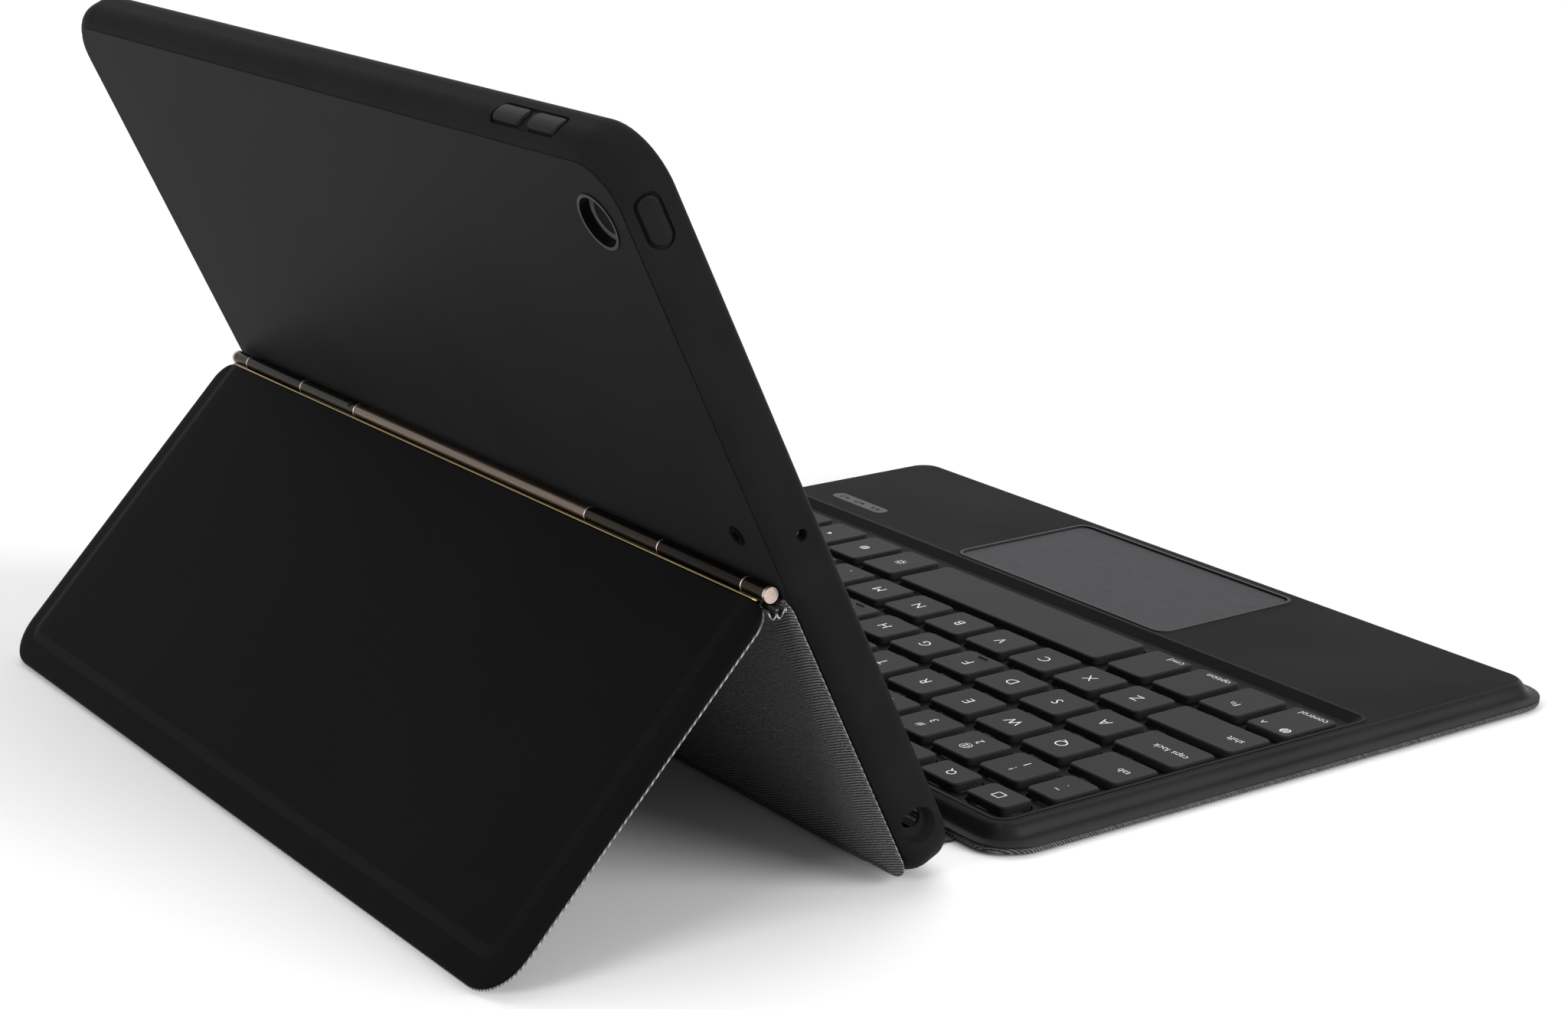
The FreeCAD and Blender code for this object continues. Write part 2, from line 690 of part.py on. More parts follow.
domes = []
plate_top = works_z + plate_t
membrane_top = plate_top + membrane_t
dome_h = key_bottom_z - key_travel - dome_room - membrane_top
for row_name, y, depth, spans in key_rows():
    caps = []
    for x0, x1 in spans:
        cap = slab(x0, x1, y - depth / 2, y + depth / 2, key_r, key_bottom_z, key_top_z)
        cap = cap.makeChamfer(key_edge, level_edges(cap, key_top_z))
        caps.append(cap)
        frame = frame.cut(key_hole(x0, x1, y, depth))
        domes.append(rod(dome_r, dome_h, vec((x0 + x1) / 2, y, membrane_top), up))
    keep(row_name, put_kb(group(caps)))
keep("key_frame", put_kb(frame))
sheet_box = (well[0] + sheet_inset, well[1] - sheet_inset, well[2] + sheet_inset, well[3] - sheet_inset)
keep("support_plate", put_kb(slab(*sheet_box, sheet_r, works_z, plate_top)))
keep("key_membrane", put_kb(slab(*sheet_box, sheet_r, plate_top, membrane_top)))
keep("rubber_domes", put_kb(group(domes)))
glow = slab(*sheet_box, sheet_r, frame_low - glow_t, frame_low)
for row_name, y, depth, spans in key_rows():
    for x0, x1 in spans:
        glow = glow.cut(key_hole(x0, x1, y, depth))
keep("light_guide", put_kb(glow))

# Trackpad in its moulded frame, with its board below
frame_z0 = deck_z - skin_t
pad_frame = slab(*pad_ring, pad_r + pad_frame_w, frame_z0, deck_z + pad_frame_h)
g = pad_gap
pad_hole = (pad_box[0] - g, pad_box[1] + g, pad_box[2] - g, pad_box[3] + g)
pad_frame = pad_frame.cut(slab(*pad_hole, pad_r + g, 0, big))
keep("trackpad_frame", put_kb(pad_frame))
pad_top = deck_z - pad_sink
keep("trackpad_plate", put_kb(slab(*pad_box, pad_r, pad_top - pad_t, pad_top)))
pad_board_top = pad_top - pad_t - pad_travel - pad_board_gap
seat = (pad_box[0] - pad_seat, pad_box[1] + pad_seat, pad_box[2] - pad_seat_end, pad_box[3] + pad_seat_end)
keep("trackpad_board", put_kb(slab(*seat, pad_r, pad_board_top - board_t, pad_board_top)))
pad_bridge = slab(*seat, pad_r, works_z, pad_board_top - board_t)
bridge_hole = (seat[0] + pad_seat, seat[1] - pad_seat, seat[2] + pad_seat, seat[3] - pad_seat)
pad_bridge = pad_bridge.cut(slab(*bridge_hole, pad_r, 0, big))
keep("trackpad_carrier", put_kb(pad_bridge))

# Batteries, main board, charging port, switch, screws and closing magnets
for name, sign in (("battery_left", -1), ("battery_right", 1)):
    cx = sign * battery_x
    cell = slab(cx - battery_len / 2, cx + battery_len / 2, battery_y - battery_wide / 2,
                battery_y + battery_wide / 2, battery_r, works_z, works_z + battery_t)
    keep(name, put_kb(cell))
board_x0 = well_half + ridge_w - board_long
board_box = (board_x0, in_x - tray_wall - fold_gap, well_front + ridge_w + inner_gap,
             battery_y - battery_wide / 2 - inner_gap)
keep("main_board", put_kb(box(*board_box, works_z, works_z + board_t)))
port_x1 = in_x + 0.2
port_z0 = works_z + 0.1
port_y0 = port_y - port_wide / 2
port_y1 = port_y + port_wide / 2
port_z1 = port_z0 + port_high
port_body = box(port_x1 - port_deep, port_x1, port_y0, port_y1, port_z0, port_z1)
port_hole = box(port_x1 - port_deep + port_wall, big, port_y0 + port_wall, port_y1 - port_wall,
                port_z0 + port_wall, port_z1 - port_wall)
port_body = port_body.cut(port_hole)
outside = box(in_x - tray_wall - 1, big, port_y0, port_y1, port_z0, port_z1)
tray = tray.cut(outside)
kb_skin = kb_skin.cut(outside)
keep("charge_port", put_kb(port_body))
slot_z = port_z0 + port_high / 2
slot_long = switch_len + switch_travel
sg = switch_slot_gap
slot = box(in_x - tray_wall - 1, big, switch_y - sg, switch_y + slot_long + sg,
           slot_z - switch_high / 2 - sg, slot_z + switch_high / 2 + sg)
tray = tray.cut(slot)
kb_skin = kb_skin.cut(slot)
knob = box(in_x - tray_wall - 0.8, in_x + 1.6, switch_y, switch_y + switch_len, slot_z - switch_high / 2,
           slot_z + switch_high / 2)
keep("power_switch", put_kb(knob))
screws = []
for x in screw_x:
    for y in (well_rear + screw_inset, well_front - screw_inset):
        screws.append(rod(screw_r, screw_t, vec(x, y, membrane_top), up))
keep("plate_screws", put_kb(group(screws)))
closers = []
closer_y = in_y1 - tray_wall - magnet_inset + magnet_t * 2.5
for sign in (-1, 1):
    cx = sign * (in_x - tray_wall - magnet_inset)
    closers.append(rod(magnet_r, magnet_t * 2, vec(cx, closer_y, works_z), up))
keep("closing_magnets", put_kb(group(closers)))
keep("keyboard_tray", put_kb(tray))
keep("keyboard_skin", put_kb(kb_skin.removeSplitter()))

os.makedirs("parts", exist_ok=True)
for name, shape in pieces.items():
    shape.exportStep("parts/" + name + ".step")
    solids = len(shape.Solids)
    print(name, "solids", solids, "volume", round(shape.Volume, 1), "valid", shape.isValid())
print("pieces", len(pieces), "shell", round(shell_w, 1), round(shell_h, 1), "hinge z", round(hinge_z, 2))
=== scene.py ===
import math
import bmesh
import bpy
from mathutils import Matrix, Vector


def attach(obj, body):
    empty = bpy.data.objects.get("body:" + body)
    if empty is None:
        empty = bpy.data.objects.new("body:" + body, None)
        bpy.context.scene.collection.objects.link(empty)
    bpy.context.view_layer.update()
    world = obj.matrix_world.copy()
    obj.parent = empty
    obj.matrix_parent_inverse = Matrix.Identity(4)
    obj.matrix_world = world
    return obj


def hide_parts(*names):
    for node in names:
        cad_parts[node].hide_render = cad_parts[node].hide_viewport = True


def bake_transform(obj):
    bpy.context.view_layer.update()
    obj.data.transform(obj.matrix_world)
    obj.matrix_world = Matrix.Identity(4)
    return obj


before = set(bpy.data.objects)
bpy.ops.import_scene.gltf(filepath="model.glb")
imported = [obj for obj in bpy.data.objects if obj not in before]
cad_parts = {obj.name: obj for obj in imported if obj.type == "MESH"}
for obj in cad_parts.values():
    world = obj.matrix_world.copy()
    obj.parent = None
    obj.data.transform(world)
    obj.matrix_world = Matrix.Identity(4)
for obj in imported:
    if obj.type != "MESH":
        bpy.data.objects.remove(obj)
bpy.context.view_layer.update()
mm = 0.001
print("stage: frame loaded", len(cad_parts), "nodes")

# where the standing case puts its three flat models (mm and degrees)
stance = {"lean": 24.9, "stand": 43.7, "shellFoot": (47.306, -1.063), "hinge": (82.731, 70.033), "deckRear": 25.806}
sinLean = math.sin(math.radians(stance["lean"]))
cosLean = math.cos(math.radians(stance["lean"]))
sinStand = math.sin(math.radians(stance["stand"]))
cosStand = math.cos(math.radians(stance["stand"]))


def onShell(x, v, w):  # v up the shell, w from its back face towards the user
    y, z = stance["shellFoot"]
    return Vector((x, y + v * sinLean - w * cosLean, z + v * cosLean + w * sinLean)) * mm


def onFlap(x, s, n):  # s down the flap, n outwards
    y, z = stance["hinge"]
    return Vector((x, y + s * sinStand + n * cosStand, z - s * cosStand + n * sinStand)) * mm


def onDeck(x, d, z):  # d from the keyboard's rear edge towards the user
    return Vector((x, stance["deckRear"] - d, z)) * mm


# materials

def newMaterial(name):
    mat = bpy.data.materials.new(name)
    mat.use_nodes = True
    nodes = mat.node_tree.nodes
    shader = nodes["Principled BSDF"]
    return mat, nodes, mat.node_tree.links, shader


def coords(nodes, links, source, scale):
    where = nodes.new("ShaderNodeTexCoord")
    spread = nodes.new("ShaderNodeMapping")
    spread.inputs["Scale"].default_value = scale
    links.new(where.outputs[source], spread.inputs["Vector"])
    return spread.outputs["Vector"]


def noise(nodes, links, vector, scale, detail=3.0, rough=0.55):
    tex = nodes.new("ShaderNodeTexNoise")
    tex.inputs["Scale"].default_value = scale
    tex.inputs["Detail"].default_value = detail
    tex.inputs["Roughness"].default_value = rough
    links.new(vector, tex.inputs["Vector"])
    return tex.outputs["Fac"]


def ramp(nodes, links, fac, low, high, a=0.3, b=0.7):
    node = nodes.new("ShaderNodeValToRGB")
    node.color_ramp.elements[0].position = a
    node.color_ramp.elements[0].color = (*low, 1)
    node.color_ramp.elements[1].position = b
    node.color_ramp.elements[1].color = (*high, 1)
    links.new(fac, node.inputs["Fac"])
    return node.outputs["Color"]


def spreadValue(nodes, links, fac, low, high):
    node = nodes.new("ShaderNodeMapRange")
    node.inputs["To Min"].default_value = low
    node.inputs["To Max"].default_value = high
    links.new(fac, node.inputs["Value"])
    return node.outputs["Result"]


def bump(nodes, links, shader, height, depth, strength):
    node = nodes.new("ShaderNodeBump")
    node.inputs["Strength"].default_value = strength
    node.inputs["Distance"].default_value = depth
    links.new(height, node.inputs["Height"])
    links.new(node.outputs["Normal"], shader.inputs["Normal"])


def shade(colour, k):
    return tuple(c * k for c in colour)


# fine moulded or coated surface: cloudy tone, uneven polish and a small grain
def grainMaterial(name, colour, rough, spec, grain=9000.0, depth=0.00002, cloud=60.0, swing=0.18, sheen=0.0):
    mat, nodes, links, shader = newMaterial(name)
    vector = coords(nodes, links, "Object", (1, 1, 1))
    tone = noise(nodes, links, vector, cloud, 4.0)
    links.new(ramp(nodes, links, tone, shade(colour, 1 - swing), shade(colour, 1 + swing)), shader.inputs["Base Color"])
    links.new(spreadValue(nodes, links, tone, rough - 0.06, rough + 0.06), shader.inputs["Roughness"])
    shader.inputs["Specular IOR Level"].default_value = spec
    if sheen:
        shader.inputs["Sheen Weight"].default_value = sheen
        shader.inputs["Sheen Roughness"].default_value = 0.5
    bump(nodes, links, shader, noise(nodes, links, vector, grain, 2.0), depth, 0.6)
    return mat


def metalMaterial(name, colour, rough, streak=(40, 3000, 3000)):
    mat, nodes, links, shader = newMaterial(name)
    vector = coords(nodes, links, "Object", streak)
    lines = noise(nodes, links, vector, 1.0, 4.0)
    links.new(ramp(nodes, links, lines, shade(colour, 0.75), shade(colour, 1.2)), shader.inputs["Base Color"])
    links.new(spreadValue(nodes, links, lines, rough - 0.08, rough + 0.1), shader.inputs["Roughness"])
    shader.inputs["Metallic"].default_value = 1.0
    bump(nodes, links, shader, lines, 0.00001, 0.4)
    return mat


# hinge barrel: the middle sleeve is brighter than the knuckles beside it
def sleeveMaterial(name, middle, ends, reach, rough):
    mat, nodes, links, shader = newMaterial(name)
    vector = coords(nodes, links, "Object", (1, 1, 1))
    split = nodes.new("ShaderNodeSeparateXYZ")
    links.new(vector, split.inputs["Vector"])
    size = nodes.new("ShaderNodeMath")
    size.operation = "ABSOLUTE"
    links.new(split.outputs["X"], size.inputs[0])
    outside = nodes.new("ShaderNodeMath")
    outside.operation = "GREATER_THAN"
    outside.inputs[1].default_value = reach
    links.new(size.outputs["Value"], outside.inputs[0])
    lines = noise(nodes, links, coords(nodes, links, "Object", (60, 3000, 3000)), 1.0, 4.0)
    inner = ramp(nodes, links, lines, shade(middle, 0.75), shade(middle, 1.2))
    outer = ramp(nodes, links, lines, shade(ends, 0.75), shade(ends, 1.2))
    mix = nodes.new("ShaderNodeMix")
    mix.data_type = "RGBA"
    links.new(outside.outputs["Value"], mix.inputs["Factor"])
    links.new(inner, mix.inputs["A"])
    links.new(outer, mix.inputs["B"])
    links.new(mix.outputs["Result"], shader.inputs["Base Color"])
    links.new(spreadValue(nodes, links, lines, rough - 0.08, rough + 0.1), shader.inputs["Roughness"])
    shader.inputs["Metallic"].default_value = 1.0
    return mat


# ribbed cloth in flat metres: ribs run along U, with yarn specks over them
weave = {"ribShare": 0.40, "speckShare": 0.75, "speckScale": 1500, "rough": 0.92, "spec": 0.06, "sheen": 0.06,
         "depth": 0.00018}


def ribMaterial(name, dark, light, pitch=0.00064, turn=0.0):
    mat, nodes, links, shader = newMaterial(name)
    where = nodes.new("ShaderNodeTexCoord")
    spin = nodes.new("ShaderNodeMapping")
    spin.inputs["Rotation"].default_value = (0, 0, math.radians(turn))
    links.new(where.outputs["UV"], spin.inputs["Vector"])
    ribs = nodes.new("ShaderNodeTexWave")
    ribs.wave_type = "BANDS"
    ribs.bands_direction = "Y"
    ribs.inputs["Scale"].default_value = 2 * math.pi / pitch / 20
    ribs.inputs["Distortion"].default_value = 1.2
    ribs.inputs["Detail"].default_value = 2.0
    ribs.inputs["Detail Scale"].default_value = 1.5
    links.new(spin.outputs["Vector"], ribs.inputs["Vector"])
    flat = nodes.new("ShaderNodeMapping")
    flat.inputs["Scale"].default_value = (weave["speckScale"], weave["speckScale"], 1)
    links.new(spin.outputs["Vector"], flat.inputs["Vector"])
    specks = noise(nodes, links, flat.outputs["Vector"], 1.0, 3.0, 0.7)
    both = nodes.new("ShaderNodeMath")
    both.operation = "MULTIPLY_ADD"
    both.inputs[1].default_value = weave["ribShare"]
    links.new(ribs.outputs["Fac"], both.inputs[0])
    share = nodes.new("ShaderNodeMath")
    share.operation = "MULTIPLY"
    share.inputs[1].default_value = weave["speckShare"]
    links.new(specks, share.inputs[0])
    links.new(share.outputs["Value"], both.inputs[2])
    links.new(ramp(nodes, links, both.outputs["Value"], dark, light, 0.42, 0.82), shader.inputs["Base Color"])
    shader.inputs["Roughness"].default_value = weave["rough"]
    shader.inputs["Specular IOR Level"].default_value = weave["spec"]
    shader.inputs["Sheen Weight"].default_value = weave["sheen"]
    shader.inputs["Sheen Roughness"].default_value = 0.6
    bump(nodes, links, shader, both.outputs["Value"], weave["depth"], 0.9)
    return mat


looks = {
    "rim": grainMaterial("rimSoftPlastic", (0.0108, 0.0106, 0.0103), 0.42, 0.006, swing=0.12),
    "back": grainMaterial("backPlastic", (0.0112, 0.0110, 0.0111), 0.50, 0.018, grain=12000, cloud=25, swing=0.1),
    "button": grainMaterial("buttonPlastic", (0.0084, 0.0082, 0.0080), 0.40, 0.05, swing=0.1),
    "ring": grainMaterial("polishedRing", (0.003, 0.003, 0.0032), 0.16, 0.16, depth=0.000002, swing=0.1),
    "flap": grainMaterial("flapLeather", (0.0042, 0.0041, 0.0041), 0.52, 0.016, grain=4200, depth=0.00003, cloud=18),
    # painted highlight: a paler copy of the flap leather for the pressed step
    "flapStepHighlight": grainMaterial("flapStepPaintedHighlight", (0.0057, 0.0056, 0.0055), 0.48, 0.018, grain=4200, depth=0.00003,
                               cloud=18),
    "deck": grainMaterial("deckLeather", (0.0215, 0.0214, 0.0216), 0.56, 0.006, grain=4800, depth=0.00003, cloud=30),
    "deckSide": grainMaterial("deckSideLeather", (0.0120, 0.0119, 0.0120), 0.36, 0.065, grain=4800, depth=0.00002,
                              cloud=40),
    "key": grainMaterial("keyPlastic", (0.0200, 0.0195, 0.0191), 0.42, 0.035, grain=9000, depth=0.00001, swing=0.07),
    "keyFrame": grainMaterial("wellPlastic", (0.0050, 0.0049, 0.0049), 0.42, 0.025, swing=0.1),
    "padFrame": grainMaterial("padFramePlastic", (0.0250, 0.0250, 0.0252), 0.40, 0.08, swing=0.1),
    "pad": grainMaterial("padCoat", (0.0590, 0.0595, 0.0630), 0.55, 0.035, grain=2600, depth=0.00002, cloud=420,
                         swing=0.13),
    "window": grainMaterial("windowPlastic", (0.0740, 0.0740, 0.0750), 0.40, 0.05, swing=0.08),
    "lining": grainMaterial("feltLining", (0.0300, 0.0300, 0.0310), 0.95, 0.1, grain=1800, depth=0.00015, cloud=300,
                            sheen=0.2),
    "bronze": sleeveMaterial("sleeveBronze", (0.15, 0.115, 0.088), (0.0080, 0.0058, 0.0042), 0.054, 0.30),
    "darkBronze": metalMaterial("darkBronze", (0.020, 0.0148, 0.0108), 0.26),
    "gold": metalMaterial("goldEdge", (0.36, 0.26, 0.13), 0.30),
    "rose": metalMaterial("roseDisc", (0.52, 0.42, 0.36), 0.36),
    "steel": metalMaterial("plainSteel", (0.5, 0.5, 0.5), 0.3),
    "rib": ribMaterial("ribbedCloth", (0.0022, 0.0022, 0.0022), (0.1250, 0.1235, 0.1215)),
    "ribSide": ribMaterial("ribbedClothSide", (0.0026, 0.0026, 0.0026), (0.1350, 0.1330, 0.1310), turn=24),
    "cutEdge": ribMaterial("cutClothEdge", (0.0900, 0.0890, 0.0880), (0.4000, 0.3950, 0.3880), pitch=0.0009, turn=60),
    "bandCloth": ribMaterial("wrappedClothBand", (0.0080, 0.0080, 0.0080), (0.1500, 0.1485, 0.1465), turn=35),
    "flapCloth": ribMaterial("flapCloth", (0.0120, 0.0120, 0.0120), (0.0700, 0.0690, 0.0680)),
    "legend": grainMaterial("legendPaint", (0.92, 0.92, 0.91), 0.6, 0.3, swing=0.06),
    # near-black for the plate seam and printed marks, and as painted shade in the camera hole, behind the buttons and
    # in the screw hole
    "dark": grainMaterial("darkSeamPrintAndShade", (0.003, 0.003, 0.003), 0.8, 0.1, swing=0.2),
    "circuit": grainMaterial("circuitBoard", (0.02, 0.09, 0.04), 0.4, 0.4, swing=0.25),
    "film": grainMaterial("clearFilm", (0.5, 0.52, 0.54), 0.4, 0.4),
    "foil": metalMaterial("cellFoil", (0.55, 0.55, 0.56), 0.4, (300, 300, 300)),
    "rubber": grainMaterial("domeRubber", (0.4, 0.4, 0.39), 0.7, 0.3),
    "board": grainMaterial("greyBoard", (0.16, 0.15, 0.135), 0.9, 0.1, cloud=200),
    "tray": grainMaterial("trayPlastic", (0.03, 0.03, 0.03), 0.6, 0.3),
}

nodeLooks = {
    "rim": ["shell_rim"],
    "back": ["shell_back"],
    "button": ["volume_up_button", "volume_down_button", "power_button"],
    "ring": ["camera_ring", "mic_ring"],
    # camera_window is near-black as painted shade, so the camera hole reads dark
    "dark": ["camera_window"],
    "bronze": ["hinge_fixed_leaf"],
    "darkBronze": ["hinge_moving_leaf"],
    "rose": ["hinge_end_caps"],
    "steel": ["hinge_pin", "hinge_stand_rivets", "hinge_panel_rivets", "support_plate", "plate_screws",
              "kickstand_magnets", "closing_magnets", "charge_port"],
    "key": ["function_keys", "number_keys", "upper_letter_keys", "home_letter_keys", "lower_letter_keys",
            "modifier_keys", "space_bar"],
    "keyFrame": ["key_frame", "power_switch"],
    "padFrame": ["trackpad_frame"],
    "pad": ["trackpad_plate"],
    "window": ["indicator_window"],
    "circuit": ["main_board", "trackpad_board"],
    "film": ["key_membrane", "light_guide"],
    "foil": ["battery_left", "battery_right"],
    "rubber": ["rubber_domes"],
    "board": ["back_panel_board", "kickstand_board"],
    "tray": ["keyboard_tray", "trackpad_carrier"],
}
for look, names in nodeLooks.items():
    for name in names:
        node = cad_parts[name]
        node.data.materials.clear()
        node.data.materials.append(looks[look])
print("stage: materials on", sum(len(n) for n in nodeLooks.values()), "rigid pieces")


# mesh helpers

def addPiece(name, verts, faces, look, body, uvs=None, smooth=True):
    mesh = bpy.data.meshes.new(name)
    mesh.from_pydata([tuple(v) for v in verts], [], faces)
    if uvs is not None:
        layer = mesh.uv_layers.new(name="flat")
        for loop in mesh.loops:
            layer.data[loop.index].uv = uvs[loop.vertex_index]
    mesh.polygons.foreach_set("use_smooth", [smooth] * len(mesh.polygons))
    mesh.materials.append(looks[look])
    mesh.update()
    piece = bpy.data.objects.new(name, mesh)
    bpy.context.collection.objects.link(piece)
    if body:
        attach(piece, body)
    return piece


# closed outline of a rounded rectangle, corners in order left-low, right-low, right-high, left-high
def roundOutline(x0, x1, y0, y1, radii, arc=9, along=26, up=14):
    spots = []
    corners = [(x0, y0, radii[0], 180), (x1, y0, radii[1], 270), (x1, y1, radii[2], 0), (x0, y1, radii[3], 90)]
    inward = [(1, 1), (-1, 1), (-1, -1), (1, -1)]
    for i in range(4):
        cx, cy, r, start = corners[i]
        mx = cx + inward[i][0] * r
        my = cy + inward[i][1] * r
        for k in range(arc + 1):
            a = math.radians(start + 90 * k / arc)
            spots.append((mx + r * math.cos(a), my + r * math.sin(a)))
        nx, ny, nr, nStart = corners[(i + 1) % 4]
        ax, ay = spots[-1]
        a = math.radians(nStart)
        bx = nx + inward[(i + 1) % 4][0] * nr + nr * math.cos(a)
        by = ny + inward[(i + 1) % 4][1] * nr + nr * math.sin(a)
        count = along if i % 2 == 0 else up
        for k in range(1, count):
            spots.append((ax + (bx - ax) * k / count, ay + (by - ay) * k / count))
    return spots


# rings of a profile stacked inside one outline; sides scales the inset at left, right, low and high edges
def ringStack(edge, radii, profile, place, sides=(1, 1, 1, 1), capLow=True, capHigh=True):
    x0, x1, y0, y1 = edge
    verts = []
    uvs = []
    faces = []
    count = 0
    for inset, height in profile:
        rr = [max(r - inset, 0.4) for r in radii]
        ring = roundOutline(x0 + inset * sides[0], x1 - inset * sides[1], y0 + inset * sides[2],
                            y1 - inset * sides[3], rr)
        count = len(ring)
        for x, y in ring:
            verts.append(place(x, y, height))
            uvs.append((x * mm, (y + height) * mm))
    rows = len(profile)
    for i in range(rows - 1):
        for k in range(count):
            a = i * count + k
            b = i * count + (k + 1) % count
            faces.append((a, b, b + count, a + count))
    if capLow:
        faces.append(tuple(reversed(range(count))))
    if capHigh:
        faces.append(tuple(range((rows - 1) * count, rows * count)))
    return verts, uvs, faces, count


def smoothShade(piece, angle=40):
    mesh = piece.data
    mesh.polygons.foreach_set("use_smooth", [True] * len(mesh.polygons))
    shape = bmesh.new()
    shape.from_mesh(mesh)
    for e in shape.edges:
        if len(e.link_faces) == 2 and e.calc_face_angle(0) > math.radians(angle):
            e.smooth = False
    bmesh.ops.recalc_face_normals(shape, faces=shape.faces)
    shape.to_mesh(mesh)
    shape.free()


def dressRows(piece, count, look, first, last=99):  # another finish on some rows of a ring stack
    piece.data.materials.append(looks[look])
    spot = len(piece.data.materials) - 1
    for poly in piece.data.polygons:
        if len(poly.vertices) == 4 and first * count <= min(poly.vertices) < last * count:
            poly.material_index = spot


def shapePiece(name, shape, look, body):  # a piece from a finished bmesh
    bmesh.ops.recalc_face_normals(shape, faces=shape.faces)
    mesh = bpy.data.meshes.new(name)
    shape.to_mesh(mesh)
    shape.free()
    mesh.materials.append(looks[look])
    piece = bpy.data.objects.new(name, mesh)
    bpy.context.collection.objects.link(piece)
    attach(piece, body)
    return piece


def acrossRun(half, steps):  # even places from side to side
    return [-half + 2 * half * i / steps for i in range(steps + 1)]


# round bar along a line of points
def tube(points, radius, sides=8, flatten=1.0):
    verts = []
    faces = []
    count = len(points)
    for i, p in enumerate(points):
        ahead = points[min(i + 1, count - 1)] - points[max(i - 1, 0)]
        ahead.normalize()
        sideways = ahead.cross(Vector((0.31, 0.22, 0.92))).normalized()
        upward = sideways.cross(ahead).normalized()
        for k in range(sides):
            a = 2 * math.pi * k / sides
            verts.append(p + sideways * math.cos(a) * radius + upward * math.sin(a) * radius * flatten)
    for i in range(count - 1):
        for k in range(sides):
            a = i * sides + k
            b = i * sides + (k + 1) % sides
            faces.append((a, b, b + sides, a + sides))
    faces.append(tuple(reversed(range(sides))))
    faces.append(tuple(range((count - 1) * sides, count * sides)))
    return verts, faces


# kickstand flap: pressed skin, cloth lining with a pale cut edge

flapDims = {"half": 125.4, "top": 2.5, "foot": 96.0, "cornerFoot": 10.5, "cornerTop": 6.0, "stepRows": (10, 13)}
flapSkinProfile = [(1.2, -0.22), (0.35, -0.20), (0.05, -0.05), (0.0, 0.18), (0.12, 0.48), (0.45, 0.76), (1.1, 0.97),
                   (2.2, 1.12), (3.8, 1.19), (5.2, 1.22), (6.0, 1.28), (6.8, 1.44), (7.6, 1.61), (8.6, 1.69),
                   (13.0, 1.70)]
flapEdge = (-flapDims["half"], flapDims["half"], flapDims["top"], flapDims["foot"])
flapRadii = (flapDims["cornerTop"], flapDims["cornerTop"], flapDims["cornerFoot"], flapDims["cornerFoot"])
verts, uvs, faces, count = ringStack(flapEdge, flapRadii, flapSkinProfile, onFlap, sides=(1, 1, 0.06, 1))
flapSkin = addPiece("flapSkin", verts, faces, "flap", "kickstand", uvs)
smoothShade(flapSkin)
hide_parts("kickstand_skin")
dressRows(flapSkin, count, "flapStepHighlight", *flapDims["stepRows"])  # painted highlight: the pressed step is a little paler to stand in for the light its ridge catches

flapClothProfile = [(1.6, -0.72), (0.4, -0.70), (-0.05, -0.58), (-0.18, -0.44), (-0.08, -0.28), (0.5, -0.20)]
verts, uvs, faces, count = ringStack(flapEdge, flapRadii, flapClothProfile, onFlap, sides=(1, 1, 0.3, 1))
flapCloth = addPiece("flapCloth", verts, faces, "flapCloth", "kickstand", uvs)
smoothShade(flapCloth)
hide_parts("kickstand_lining")
dressRows(flapCloth, count, "cutEdge", 1)  # the cut edge shows the yarn
print("stage: kickstand flap")


# back panel cloth, hem, tail and spine

panelDims = {"half": 125.0, "low": 2.4, "high": 76.6, "cornerLow": 6.5, "cornerHigh": 3.0}
panelProfile = [(0.9, -0.02), (0.25, -0.12), (0.0, -0.45), (0.1, -0.85), (0.55, -1.14), (1.5, -1.27), (3.2, -1.26),
                (5.2, -1.21), (9.0, -1.20)]
panelEdge = (-panelDims["half"], panelDims["half"], panelDims["low"], panelDims["high"])
panelRadii = (panelDims["cornerLow"], panelDims["cornerLow"], panelDims["cornerHigh"], panelDims["cornerHigh"])
verts, uvs, faces, count = ringStack(panelEdge, panelRadii, panelProfile, onShell, sides=(1, 1, 1, 0.4))
panelCloth = addPiece("panelCloth", verts, faces, "rib", "shell", uvs)
smoothShade(panelCloth)
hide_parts("back_panel_fabric")
dressRows(panelCloth, count, "ribSide", 2)
dressRows(panelCloth, count, "cutEdge", 0, 2)

hemDims = {"half": 118.5, "up": 4.3, "out": -1.12, "radius": 0.5, "steps": 60, "sides": 8, "weave": 0.004}
hemLine = [onShell(x, hemDims["up"], hemDims["out"]) for x in acrossRun(hemDims["half"], hemDims["steps"])]
verts, faces = tube(hemLine, hemDims["radius"] * mm, hemDims["sides"])
uvs = [(i * hemDims["weave"], k * hemDims["weave"]) for i in range(len(hemLine)) for k in range(hemDims["sides"])]
addPiece("panelHem", verts, faces, "ribSide", "shell", uvs)
print("stage: back panel")


